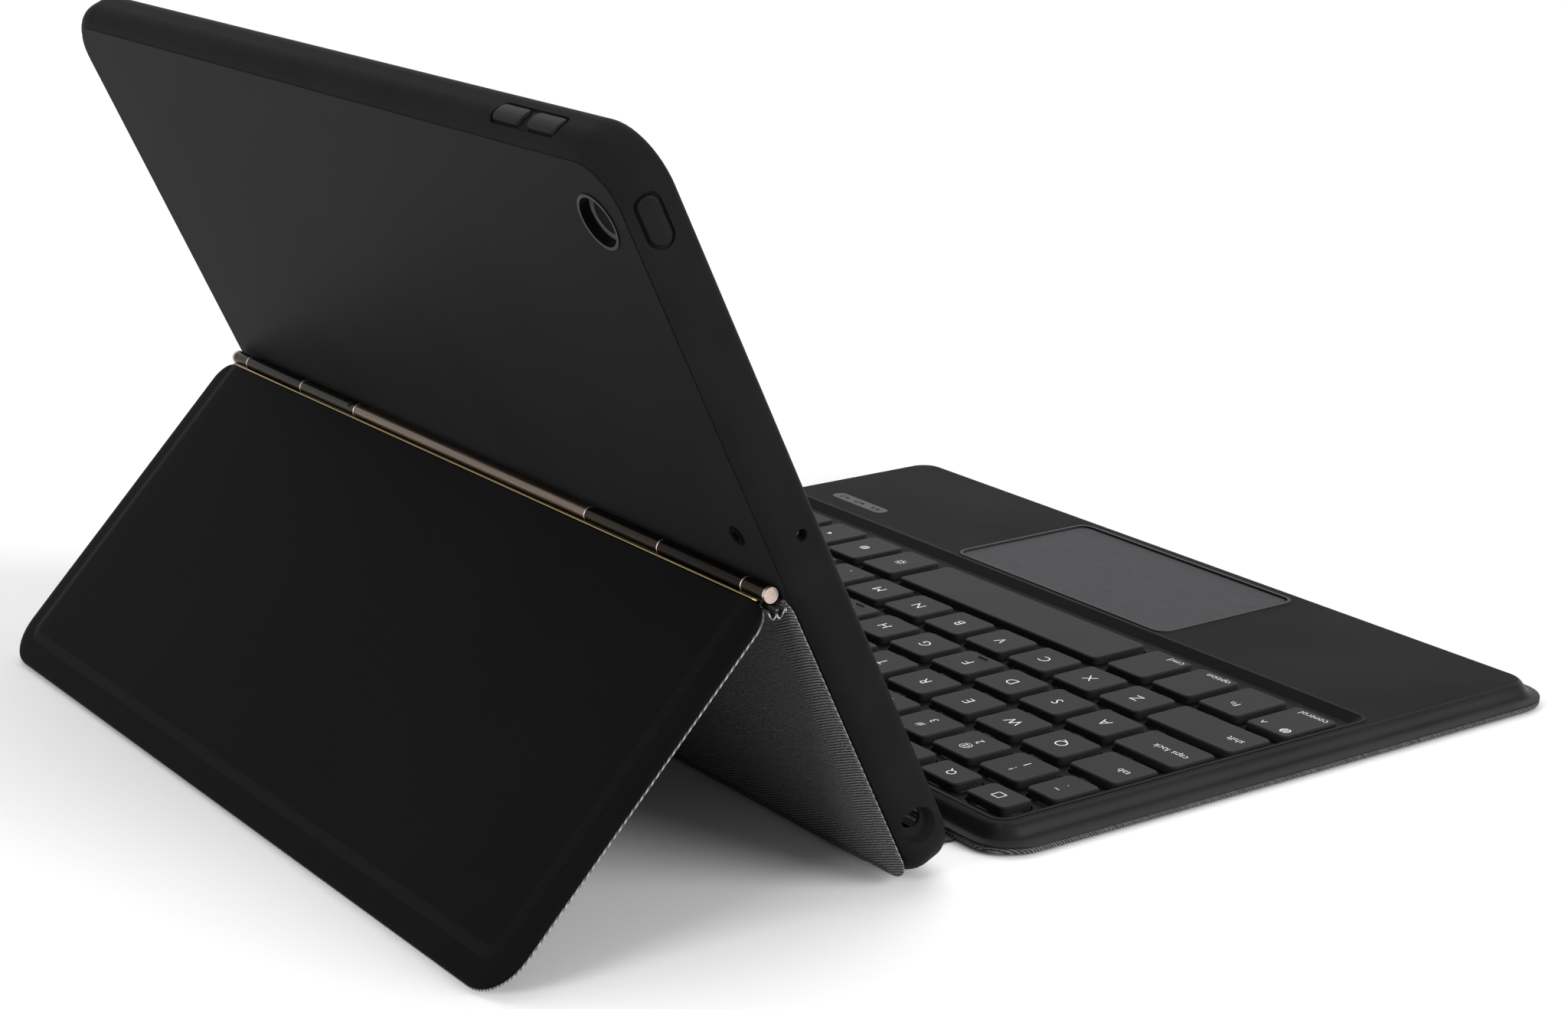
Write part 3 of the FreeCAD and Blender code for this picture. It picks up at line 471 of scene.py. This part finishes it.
# strip of cloth that follows a line in the Y Z plane, given some thickness
def clothStrip(name, line, half, thick, look, waves=0.0):
    across = 64  # cells from side to side
    verts = []
    uvs = []
    faces = []
    length = 0.0
    last = None
    runs = []
    for y, z in line:
        if last is not None:
            length += math.hypot(y - last[0], z - last[1])
        runs.append(length)
        last = (y, z)
    rows = len(line)
    for layer in (0, 1):
        for i, (y, z) in enumerate(line):
            ya, za = line[max(i - 1, 0)]
            yb, zb = line[min(i + 1, rows - 1)]
            size = math.hypot(yb - ya, zb - za)
            ny = (za - zb) / size
            nz = (yb - ya) / size
            for x in acrossRun(half, across):
                lift = waves * math.sin(x * 0.31 + i) * math.sin(x * 0.083 + 1.3) * math.sin(math.pi * i / (rows - 1))
                off = thick * layer + lift
                verts.append(Vector((x, y + ny * off, z + nz * off)) * mm)
                uvs.append((x * mm, runs[i] * mm))
    stride = across + 1
    top = rows * stride
    for i in range(rows - 1):
        for k in range(across):
            a = i * stride + k
            faces.append((a, a + stride, a + stride + 1, a + 1))
            faces.append((top + a, top + a + 1, top + a + stride + 1, top + a + stride))
    rim = list(range(stride)) + [i * stride + across for i in range(1, rows)]
    rim += [(rows - 1) * stride + k for k in range(across - 1, -1, -1)] + [i * stride for i in range(rows - 2, 0, -1)]
    for j, a in enumerate(rim):
        b = rim[(j + 1) % len(rim)]
        faces.append((a, b, top + b, top + a))
    piece = addPiece(name, verts, faces, look, None, uvs)
    smoothShade(piece)
    return piece, length


def shellSpot(v, w):
    p = onShell(0, v, w) / mm
    return (p.y, p.z)


stripDims = {"half": 109.5, "thick": 0.42}
tailLine = [shellSpot(6.0, -0.2), shellSpot(4.6, -0.5), shellSpot(3.2, -0.55), (49.6, 0.95), (48.4, 0.32), (46.5, 0.08),
            (44.6, 0.04), (43.1, 0.03), (41.6, 0.03), (39.0, 0.03), (36.5, 0.03), (34.6, 0.03)]
tailCloth, tailLength = clothStrip("tailCloth", tailLine[::-1], stripDims["half"], stripDims["thick"], "rib")
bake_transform(tailCloth)

spineLine = [(34.5, 0.03), (32.0, 0.03), (29.5, 0.03), (27.6, 0.03), (26.4, 0.03), (25.4, 0.04), (24.2, 0.05),
             (22.6, 0.06)]
spineCloth, spineLength = clothStrip("spineCloth", spineLine[::-1], stripDims["half"], stripDims["thick"], "rib")
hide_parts("spine_fabric", "spine_lining")
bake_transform(spineCloth)

# gathered cloth between the flap's lining and the panel, under the hinge
foldDims = {"y": 84.8, "z": 66.75, "run": 4.7, "sway": 0.3, "rise": 1.0, "steps": 40, "half": 124.2, "thick": 0.3,
            "waves": 0.05}
foldLine = []
for i in range(foldDims["steps"] + 1):
    f = i / foldDims["steps"]
    foldLine.append((foldDims["y"] - foldDims["run"] * f + foldDims["sway"] * math.sin(4 * math.pi * f),
                     foldDims["z"] + foldDims["rise"] * math.sin(5 * math.pi * f + 0.4)))
foldCloth, foldLength = clothStrip("foldCloth", foldLine, foldDims["half"], foldDims["thick"], "flapCloth",
                                   foldDims["waves"])
foldCloth.data.materials.append(looks["cutEdge"])
for poly in foldCloth.data.polygons:  # only the cut ends are pale
    if abs(poly.center.x) > (foldDims["half"] - 0.1) * mm:
        poly.material_index = 1
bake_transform(foldCloth)
print("stage: tail, spine and hinge fold")


# keyboard: cloth underside and pressed deck skin

deckDims = {"half": 126.0, "rear": 0.3, "front": 175.2, "corner": 11.0, "top": 6.2, "lip": 0.55, "sideFrom": 119.2}
deckEdge = (-deckDims["half"], deckDims["half"], deckDims["rear"], deckDims["front"])
deckRadii = (deckDims["corner"],) * 4
clothProfile = [(3.0, 0.0), (1.3, 0.06), (0.5, 0.3), (0.16, 0.75), (0.12, 1.2), (0.3, 1.55), (0.8, 1.7), (1.6, 1.72)]
verts, uvs, faces, count = ringStack(deckEdge, deckRadii, clothProfile, onDeck)
keyboardCloth = addPiece("keyboardCloth", verts, faces, "rib", "keyboard", uvs)
smoothShade(keyboardCloth)
dressRows(keyboardCloth, count, "bandCloth", 1)
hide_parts("keyboard_fabric")

deckProfile = [(1.8, 1.72), (0.8, 1.70), (0.2, 1.76), (0.05, 1.94), (0.16, 2.14), (0.7, 2.28), (1.5, 2.36), (2.3, 2.54),
               (2.95, 2.95), (3.45, 3.55), (3.9, 4.3), (4.4, 5.05), (4.95, 5.62), (5.55, 5.98), (6.1, 6.14), (6.5, 6.2)]
deckHoles = {"well": (-119.4, 119.4, 5.0, 118.0), "wellCorner": 4.2, "pad": (-44.1, 42.1, 118.7, 166.3),
             "padCorner": 4.1, "windowCorner": 2.19}
windowDims = {"x": 96.5, "y": 126.3, "long": 24.0, "wide": 4.4}
windowEdge = (windowDims["x"] - windowDims["long"] / 2, windowDims["x"] + windowDims["long"] / 2,
              windowDims["y"] - windowDims["wide"] / 2, windowDims["y"] + windowDims["wide"] / 2)
verts, uvs, faces, count = ringStack(deckEdge, deckRadii, deckProfile, onDeck, sides=(1, 1, 0.62, 1),
                                     capLow=False, capHigh=False)
skin = bmesh.new()
made = [skin.verts.new(v) for v in verts]
for f in faces:
    skin.faces.new([made[i] for i in f])
topRing = made[-count:]
loops = [[skin.edges.get((topRing[i], topRing[(i + 1) % count])) for i in range(count)]]
for edge, radius in ((deckHoles["well"], deckHoles["wellCorner"]), (deckHoles["pad"], deckHoles["padCorner"]),
                     (windowEdge, deckHoles["windowCorner"])):
    spots = roundOutline(*edge, (radius,) * 4, arc=8, along=12, up=8)
    high = [skin.verts.new(onDeck(x, y, deckDims["top"])) for x, y in spots]
    low = [skin.verts.new(onDeck(x, y, deckDims["top"] - deckDims["lip"])) for x, y in spots]
    ring = []
    for i in range(len(spots)):
        j = (i + 1) % len(spots)
        skin.faces.new((high[i], high[j], low[j], low[i]))
        ring.append(skin.edges.get((high[i], high[j])))
    loops.append(ring)
bmesh.ops.triangle_fill(skin, use_beauty=True, use_dissolve=False, edges=[e for loop in loops for e in loop])
sideHoles = {"port": (136.3, 145.7, 2.0, 4.7), "switch": (125.1, 132.9, 2.0, 4.2)}  # in the right side
for d0, d1, z0, z1 in sideHoles.values():
    cuts = [(onDeck(0, d0, 0), (0, 1, 0)), (onDeck(0, d1, 0), (0, 1, 0)), (onDeck(0, 0, z0), (0, 0, 1)),
            (onDeck(0, 0, z1), (0, 0, 1))]
    for spot, across in cuts:
        side = [f for f in skin.faces if min(v.co.x for v in f.verts) > deckDims["sideFrom"] * mm]
        parts = set(side)
        for f in side:
            parts.update(f.edges)
            parts.update(f.verts)
        bmesh.ops.bisect_plane(skin, geom=list(parts), plane_co=spot, plane_no=across)
    gone = []
    for f in skin.faces:
        c = f.calc_center_median() / mm
        d = stance["deckRear"] - c.y
        if c.x > deckDims["sideFrom"] and d0 < d < d1 and z0 < c.z < z1:
            gone.append(f)
    bmesh.ops.delete(skin, geom=gone, context="FACES")
deckSkin = shapePiece("deckSkin", skin, "deck", "keyboard")
smoothShade(deckSkin, 35)
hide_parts("keyboard_skin")
border = {"below": 6.0, "side": 119.5, "rear": 4.9, "front": 167.0}
deckSkin.data.materials.append(looks["deckSide"])
for poly in deckSkin.data.polygons:  # the pressed border is smoother than the palm rest
    d = stance["deckRear"] - poly.center.y / mm
    outside = abs(poly.center.x) > border["side"] * mm or d < border["rear"] or d > border["front"]
    if outside and poly.center.z < border["below"] * mm:
        poly.material_index = 1
print("stage: keyboard skin")


# shell lining and the dark seam round the back plate

liningDims = {"edge": (-125.4, 125.4, 3.0, 177.5), "corner": 10.6, "face": 2.5, "under": 2.02,
              "camera": (-118.2, -110.2, 159.5, 167.5), "cameraCorner": 3.99,
              "mic": (-115.3, -113.3, 89.25, 91.25), "micCorner": 0.99}
felt = bmesh.new()
rings = []
for edge, radius in (("edge", "corner"), ("camera", "cameraCorner"), ("mic", "micCorner")):
    spots = roundOutline(*liningDims[edge], (liningDims[radius],) * 4, arc=8, along=8, up=6)
    high = [felt.verts.new(onShell(x, y, liningDims["face"])) for x, y in spots]
    low = [felt.verts.new(onShell(x, y, liningDims["under"])) for x, y in spots]
    for i in range(len(spots)):
        j = (i + 1) % len(spots)
        felt.faces.new((high[i], high[j], low[j], low[i]))
    rings.append((high, low))
for side in (0, 1):
    edges = []
    for pair in rings:
        ring = pair[side]
        edges += [felt.edges.get((ring[i], ring[(i + 1) % len(ring)])) for i in range(len(ring))]
    bmesh.ops.triangle_fill(felt, use_beauty=True, use_dissolve=False, edges=edges)
feltLining = shapePiece("feltLining", felt, "lining", "shell")
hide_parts("shell_lining")

seamDims = {"edge": (-124.45, 124.45, 4.05, 176.45), "corner": 9.65}
seamProfile = [(-0.16, 0.12), (-0.1, 0.02), (0.0, -0.02), (0.05, 0.03)]
verts, uvs, faces, count = ringStack(seamDims["edge"], (seamDims["corner"],) * 4, seamProfile, onShell,
                                     capLow=False, capHigh=False)
addPiece("plateSeam", verts, faces, "dark", "shell", uvs)
print("stage: lining and seam")


# thin webs that close the pockets behind the buttons; their near-black colour is painted shade that keeps the gaps
# round the buttons dark
webDims = {"volume": (-107.2, -81.2, 1.9, 7.1), "power": (157.9, 169.7, 1.6, 6.8), "topWall": 177.4,
           "sideWall": -125.4, "corner": 1.8}
webProfile = [(0.0, 0.0), (0.0, 0.14)]


def onTopWall(x, w, h):
    return onShell(x, webDims["topWall"] + h, w)


def onSideWall(v, w, h):
    return onShell(webDims["sideWall"] - h, v, w)


for name, edge, place in (("volumeShadeWeb", webDims["volume"], onTopWall), ("powerShadeWeb", webDims["power"], onSideWall)):
    verts, uvs, faces, count = ringStack(edge, (webDims["corner"],) * 4, webProfile, place)
    addPiece(name, verts, faces, "dark", "shell", uvs, smooth=False)
print("stage: button webs")


# hinge trim: bright rings at the knuckle gaps, gold leaf edge and one sunk screw, drawn as a near-black dot of painted
# shade

hingeDims = {"gaps": (-114.0, -83.0, -54.0, 54.0, 83.0, 114.0), "radius": 1.72, "ringWide": 0.34, "steps": 28}
section = [(-0.5, -0.28), (-0.5, 0.0), (-0.25, 0.07), (0.25, 0.07), (0.5, 0.0), (0.5, -0.28)]
steps = hingeDims["steps"]
width = len(section)
for index, x in enumerate(hingeDims["gaps"]):
    verts = []
    faces = []
    for k in range(steps):
        a = 2 * math.pi * k / steps
        for sx, sr in section:
            r = (hingeDims["radius"] + sr) * mm
            centre = onFlap(x + sx * hingeDims["ringWide"], 0, 0)
            verts.append(centre + Vector((0, math.cos(a) * r, math.sin(a) * r)))
    for k in range(steps):
        n = (k + 1) % steps
        for j in range(width):
            m = (j + 1) % width
            faces.append((k * width + j, n * width + j, n * width + m, k * width + m))
    addPiece("knuckleRing" + str(index + 1), verts, faces, "rose", "shell")

leafDims = {"half": 120.5, "down": 2.3, "out": 0.62, "radius": 0.42, "flat": 0.8, "steps": 80}
leafLine = [onFlap(x, leafDims["down"], leafDims["out"]) for x in acrossRun(leafDims["half"], leafDims["steps"])]
verts, faces = tube(leafLine, leafDims["radius"] * mm, 8, leafDims["flat"])
addPiece("leafEdge", verts, faces, "gold", "kickstand")

# painted shade: a near-black dot where the sunk screw's hole is
screwDims = {"x": 56.6, "turn": 52, "reach": (1.2, 1.5, 1.76), "radius": 0.75, "sides": 14}
screwTurn = math.radians(screwDims["turn"])
screwOut = Vector((0, math.cos(screwTurn), math.sin(screwTurn)))
screwSpot = onFlap(screwDims["x"], 0, 0)
verts, faces = tube([screwSpot + screwOut * r * mm for r in screwDims["reach"]], screwDims["radius"] * mm,
                    screwDims["sides"])
addPiece("pinScrewShadeDot", verts, faces, "dark", "shell")
print("stage: hinge trim")


# key legends

def islands(node):  # the box of each key of a row, left to right
    shape = bmesh.new()
    shape.from_mesh(node.data)
    bmesh.ops.remove_doubles(shape, verts=shape.verts, dist=1e-6)
    seen = set()
    boxes = []
    for v in shape.verts:
        if v.index in seen:
            continue
        stack = [v]
        seen.add(v.index)
        pts = []
        while stack:
            w = stack.pop()
            pts.append(w.co.copy())
            for e in w.link_edges:
                o = e.other_vert(w)
                if o.index not in seen:
                    seen.add(o.index)
                    stack.append(o)
        boxes.append([min(p.x for p in pts), max(p.x for p in pts), min(p.y for p in pts), max(p.y for p in pts),
                      max(p.z for p in pts)])
    shape.free()
    boxes.sort()
    return boxes


glyphStore = {}


def glyphMesh(words):
    if words not in glyphStore:
        curve = bpy.data.curves.new("glyph", "FONT")
        curve.body = words
        curve.size = 1.0
        curve.offset = -0.012
        curve.resolution_u = 3
        holder = bpy.data.objects.new("glyph", curve)
        bpy.context.collection.objects.link(holder)
        bpy.context.view_layer.update()
        mesh = bpy.data.meshes.new_from_object(holder.evaluated_get(bpy.context.evaluated_depsgraph_get()))
        pts = [(v.co.x, v.co.y) for v in mesh.vertices]
        polys = [tuple(p.vertices) for p in mesh.polygons]
        bpy.data.objects.remove(holder)
        bpy.data.curves.remove(curve)
        bpy.data.meshes.remove(mesh)
        glyphStore[words] = (pts, polys)
    return glyphStore[words]


class LegendSheet:
    def __init__(self):
        self.verts = []
        self.faces = []

    def add(self, pts, polys, x, y, z):
        start = len(self.verts)
        self.verts += [Vector((x + px * mm, y + py * mm, z)) for px, py in pts]
        self.faces += [tuple(start + i for i in p) for p in polys]

    def text(self, words, size, x, y, z, align):
        pts, polys = glyphMesh(words)
        if not pts:
            return
        lo = min(p[0] for p in pts)
        hi = max(p[0] for p in pts)
        shift = {"left": lo, "mid": (lo + hi) / 2, "right": hi}[align]
        self.add([((px - shift) * size, py * size) for px, py in pts], polys, x, y, z)

    def bar(self, x0, y0, x1, y1, wide, at):
        dx = x1 - x0
        dy = y1 - y0
        size = math.hypot(dx, dy)
        ox = -dy / size * wide / 2
        oy = dx / size * wide / 2
        self.add([(x0 + ox, y0 + oy), (x0 - ox, y0 - oy), (x1 - ox, y1 - oy), (x1 + ox, y1 + oy)], [(0, 1, 2, 3)], *at)

    def ring(self, cx, cy, r, wide, at, squash=1.0):
        steps = 20
        pts = []
        for k in range(steps):
            a = 2 * math.pi * k / steps
            for rr in (r - wide / 2, r + wide / 2):
                pts.append((cx + rr * math.cos(a) * squash, cy + rr * math.sin(a)))
        polys = []
        for k in range(steps):
            n = (k + 1) % steps
            polys.append((2 * k, 2 * k + 1, 2 * n + 1, 2 * n))
        self.add(pts, polys, *at)

    def fill(self, pts, at):
        self.add(pts, [tuple(range(len(pts)))], *at)

    def frame(self, w, h, wide, at):
        self.bar(-w / 2, h / 2, w / 2, h / 2, wide, at)
        self.bar(-w / 2, -h / 2, w / 2, -h / 2, wide, at)
        self.bar(-w / 2, -h / 2, -w / 2, h / 2, wide, at)
        self.bar(w / 2, -h / 2, w / 2, h / 2, wide, at)


def drawIcon(sheet, kind, at):
    thin = 0.26
    if kind == "home":
        sheet.frame(2.5, 2.5, thin, at)
    elif kind == "find":
        sheet.ring(-0.25, 0.25, 1.05, thin, at)
        sheet.bar(0.5, -0.5, 1.4, -1.4, thin * 1.3, at)
    elif kind in ("dim", "sun"):
        size = 0.6 if kind == "dim" else 0.85
        sheet.ring(0, 0, size, thin, at)
        for k in range(8):
            a = k * math.pi / 4
            sheet.bar(math.cos(a) * (size + 0.4), math.sin(a) * (size + 0.4), math.cos(a) * (size + 0.85),
                      math.sin(a) * (size + 0.85), thin, at)
    elif kind == "keys":
        sheet.frame(3.4, 2.0, thin, at)
        for k in range(4):
            sheet.bar(-1.2 + k * 0.8, 0.35, -0.9 + k * 0.8, 0.35, thin, at)
        sheet.bar(-0.9, -0.4, 0.9, -0.4, thin, at)
    elif kind in ("prev", "next", "play"):
        turn = -1 if kind == "prev" else 1
        sheet.fill([(-1.3 * turn, 0.8), (-1.3 * turn, -0.8), (0.0, 0.0)], at)
        if kind == "play":
            sheet.bar(0.5, -0.8, 0.5, 0.8, 0.36, at)
            sheet.bar(1.2, -0.8, 1.2, 0.8, 0.36, at)
        else:
            sheet.fill([(0.0, 0.8), (0.0, -0.8), (1.3 * turn, 0.0)], at)
    elif kind in ("mute", "quiet", "loud"):
        sheet.fill([(-1.5, 0.4), (-1.5, -0.4), (-0.9, -0.4), (-0.2, -1.0), (-0.2, 1.0), (-0.9, 0.4)], at)
        for k in range({"mute": 0, "quiet": 1, "loud": 2}[kind]):
            sheet.bar(0.4 + k * 0.6, -0.45 - k * 0.3, 0.4 + k * 0.6, 0.45 + k * 0.3, thin, at)
    elif kind == "lock":
        sheet.fill([(-0.9, 0.1), (-0.9, -1.2), (0.9, -1.2), (0.9, 0.1)], at)
        sheet.ring(0, 0.3, 0.6, thin, at)
    elif kind == "globe":
        sheet.ring(0, 0, 1.25, thin, at)
        sheet.ring(0, 0, 1.25, thin, at, 0.45)
        sheet.bar(-1.2, 0, 1.2, 0, thin, at)
        sheet.bar(-1.0, 0.6, 1.0, 0.6, thin * 0.8, at)
        sheet.bar(-1.0, -0.6, 1.0, -0.6, thin * 0.8, at)
    elif kind in ("left", "right", "upDown"):
        if kind == "upDown":
            sheet.fill([(-0.9, 0.7), (0.9, 0.7), (0.0, 1.9)], at)
            sheet.fill([(-0.9, -0.7), (0.0, -1.9), (0.9, -0.7)], at)
        else:
            turn = -1 if kind == "left" else 1
            sheet.fill([(-0.6 * turn, 0.9), (-0.6 * turn, -0.9), (0.7 * turn, 0.0)], at)


legendDims = {"lift": 0.012, "letter": 4.6, "digit": 3.4, "word": 3.0, "wordIn": 1.7, "wordUp": 1.5,
              "sideIn": 3.0, "sideDown": 0.9, "shortUp": 1.6, "midDown": 0.8, "digitDown": 3.4, "signUp": 0.9,
              "letterDown": 0.34, "globeIn": 3.2, "caret": 4.0, "caretIn": 3.0, "caretDown": 5.2}
bumpDims = {"down": 4.9, "half": 1.6, "radius": 0.3, "shares": (-1, -0.85, 0, 0.85, 1), "sides": 10}
rowLegends = {
    "function_keys": ("function_row", ["*home", "*find", "*dim", "*sun", "*keys", "*prev", "*play", "*next", "*mute",
                                       "*quiet", "*loud", "esc", "ins", "*lock"]),
    "number_keys": ("number_row", ["|`~", "|1!", "|2@", "|3#", "|4$", "|5%", "|6^", "|7&", "|8*", "|9(", "|0)", "|-_",
                                   "|=+", "_delete"]),
    "upper_letter_keys": ("upper_row", ["_tab"] + list("QWERTYUIOP") + ["|[{", "|]}"]),
    "home_letter_keys": ("home_row", ["_caps lock"] + list("ASDFGHJKL") + ["|;:", "|'\"", "_return"]),
    "lower_letter_keys": ("lower_row", ["_shift"] + list("ZXCVBNM") + ["|,<", "|.>", "|/?", "_shift"]),
    "modifier_keys": ("modifier_row", ["+control", "Fn", "_option", "_cmd", "*sun", "*globe", "*left", "*upDown",
                                       "*right"]),
}
bumpSpots = []
for nodeName, (body, legends) in rowLegends.items():
    sheet = LegendSheet()
    boxes = islands(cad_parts[nodeName])
    for (x0, x1, y0, y1, z), legend in zip(boxes, legends):
        z += legendDims["lift"] * mm
        mx = (x0 + x1) / 2
        my = (y0 + y1) / 2
        if legend[0] == "*" and len(legend) > 1:
            drawIcon(sheet, legend[1:], (mx, my, z))
        elif legend[0] == "|" and len(legend) == 3:
            sheet.text(legend[1], legendDims["digit"], mx, my - legendDims["digitDown"] * mm, z, "mid")
            sheet.text(legend[2], legendDims["digit"], mx, my + legendDims["signUp"] * mm, z, "mid")
        elif legend[0] in "_+":
            onRight = mx > 0
            low = nodeName == "modifier_keys"
            inset = legendDims["wordIn" if low else "sideIn"] * mm
            edge = x1 - inset if onRight else x0 + inset
            base = y0 + legendDims["wordUp"] * mm if low else my - legendDims["sideDown"] * mm
            sheet.text(legend[1:], legendDims["word"], edge, base, z, "right" if onRight else "left")
            if legend[0] == "+":
                drawIcon(sheet, "globe", (x0 + legendDims["globeIn"] * mm, y1 - legendDims["globeIn"] * mm, z))
                sheet.text("^", legendDims["caret"], x1 - legendDims["caretIn"] * mm,
                           y1 - legendDims["caretDown"] * mm, z, "mid")
        elif len(legend) > 1:
            rise = legendDims["shortUp"] if legend == "Fn" else -legendDims["midDown"]
            sheet.text(legend, legendDims["word"], mx, my + rise * mm, z, "mid")
        else:
            down = legendDims["letter"] * legendDims["letterDown"] * mm
            sheet.text(legend, legendDims["letter"], mx, my - down, z, "mid")
        if legend in ("F", "J"):
            bumpSpots.append((mx, my - bumpDims["down"] * mm, z))
    addPiece(nodeName + "_legends", sheet.verts, sheet.faces, "legend", body, smooth=False)
for index, (x, y, z) in enumerate(bumpSpots):  # raised bars under the two pointing fingers
    bar = [Vector((x + s * bumpDims["half"] * mm, y, z)) for s in bumpDims["shares"]]
    verts, faces = tube(bar, bumpDims["radius"] * mm, bumpDims["sides"])
    addPiece("homeBump" + str(index + 1), verts, faces, "key", "home_row")
print("stage: legends")

# printed marks on the indicator window
lampDims = {"lift": 0.02, "first": 8.6, "pitch": 7.4, "beside": 2.3, "thin": 0.24}
lampSheet = LegendSheet()
lampZ = (deckDims["top"] + lampDims["lift"]) * mm
thin = lampDims["thin"]
for k in range(3):
    lampX = windowDims["x"] - lampDims["first"] + k * lampDims["pitch"]
    at = (onDeck(lampX, 0, 0).x, onDeck(0, windowDims["y"], 0).y, lampZ)
    beside = (at[0] + lampDims["beside"] * mm, at[1], lampZ)
    lampSheet.ring(0, 0, 0.33, 0.66, at)
    if k == 0:
        lampSheet.bar(-0.7, -0.7, 0.7, 0.7, thin, beside)
        lampSheet.bar(-0.7, 0.7, 0.7, -0.7, thin, beside)
        lampSheet.bar(0, -1.0, 0, 1.0, thin, beside)
    elif k == 1:
        lampSheet.frame(2.0, 1.1, thin, beside)
        lampSheet.bar(1.1, -0.25, 1.1, 0.25, 0.3, beside)
    else:
        lampSheet.ring(0, 0, 0.7, 0.26, beside)
        lampSheet.bar(0, 0.5, 0, 1.2, thin, beside)
addPiece("windowMarks", lampSheet.verts, lampSheet.faces, "dark", "keyboard", smooth=False)


# floor, light and camera

floorMat, nodes, links, shader = newMaterial("paleFloor")
vector = coords(nodes, links, "Object", (1, 1, 1))
links.new(ramp(nodes, links, noise(nodes, links, vector, 3.0), (0.95, 0.95, 0.95), (0.97, 0.97, 0.97)),
          shader.inputs["Base Color"])
shader.inputs["Roughness"].default_value = 0.9
shader.inputs["Specular IOR Level"].default_value = 0.0
bpy.ops.mesh.primitive_plane_add(size=14, location=(0, 0, -0.0003))
floor = bpy.context.object
floor.name = "floor"
floor.data.materials.append(floorMat)

studio = {"world": 0.40, "sun": 1.3, "sunFrom": (0.45, -0.30, 1.0), "sunSpread": 70, "side": 2.6,
          "sideFrom": (-1.0, -0.55, 0.45), "sideSpread": 40, "boxPower": 6.0,
          "boxSize": 0.35, "boxPlace": (-0.30, 1.05, 0.40), "boxAim": (-0.12, 0.11, 0.155)}
world = bpy.data.worlds.new("studioWorld")
bpy.context.scene.world = world
world.use_nodes = True
wNodes = world.node_tree.nodes
wLinks = world.node_tree.links
backdrop = wNodes["Background"]
path = wNodes.new("ShaderNodeLightPath")
level = wNodes.new("ShaderNodeMapRange")
level.inputs["To Min"].default_value = studio["world"]
level.inputs["To Max"].default_value = 1.0
seen = path.outputs["Is Camera Ray"]
for other in ("Is Glossy Ray", "Is Transmission Ray"):  # metal and gloss see the same white as the camera
    either = wNodes.new("ShaderNodeMath")
    either.operation = "MAXIMUM"
    wLinks.new(seen, either.inputs[0])
    wLinks.new(path.outputs[other], either.inputs[1])
    seen = either.outputs["Value"]
wLinks.new(seen, level.inputs["Value"])
wLinks.new(level.outputs["Result"], backdrop.inputs["Strength"])
backdrop.inputs["Color"].default_value = (1, 1, 1, 1)

for name, power, spread, source in (("softSun", "sun", "sunSpread", "sunFrom"),
                                    ("sideSun", "side", "sideSpread", "sideFrom")):
    sunData = bpy.data.lights.new(name, "SUN")
    sunData.energy = studio[power]
    sunData.angle = math.radians(studio[spread])
    sun = bpy.data.objects.new(name, sunData)
    bpy.context.collection.objects.link(sun)
    sun.rotation_euler = Vector(studio[source]).to_track_quat("Z", "Y").to_euler()

boxData = bpy.data.lights.new("cornerBox", "AREA")
boxData.energy = studio["boxPower"]
boxData.size = studio["boxSize"]
cornerBox = bpy.data.objects.new("cornerBox", boxData)
bpy.context.collection.objects.link(cornerBox)
cornerBox.location = studio["boxPlace"]
boxLine = Vector(cornerBox.location) - Vector(studio["boxAim"])
cornerBox.rotation_euler = boxLine.to_track_quat("Z", "Y").to_euler()

view = {"place": (-0.5899, 0.4062, 0.2549), "look": (0.7903, -0.5445, -0.2810), "lens": 69.45,
        "shift": (0.0119, 0.0009)}
camData = bpy.data.cameras.new("photoCamera")
camData.lens = view["lens"]
camData.sensor_width = 36.0
camData.shift_x, camData.shift_y = view["shift"]
camera = bpy.data.objects.new("photoCamera", camData)
bpy.context.collection.objects.link(camera)
camera.location = view["place"]
camera.rotation_euler = Vector(view["look"]).to_track_quat("-Z", "Y").to_euler()
camData.clip_start = 0.01
bpy.context.scene.camera = camera
bpy.context.scene.view_settings.view_transform = "Standard"
print("stage: studio and camera")
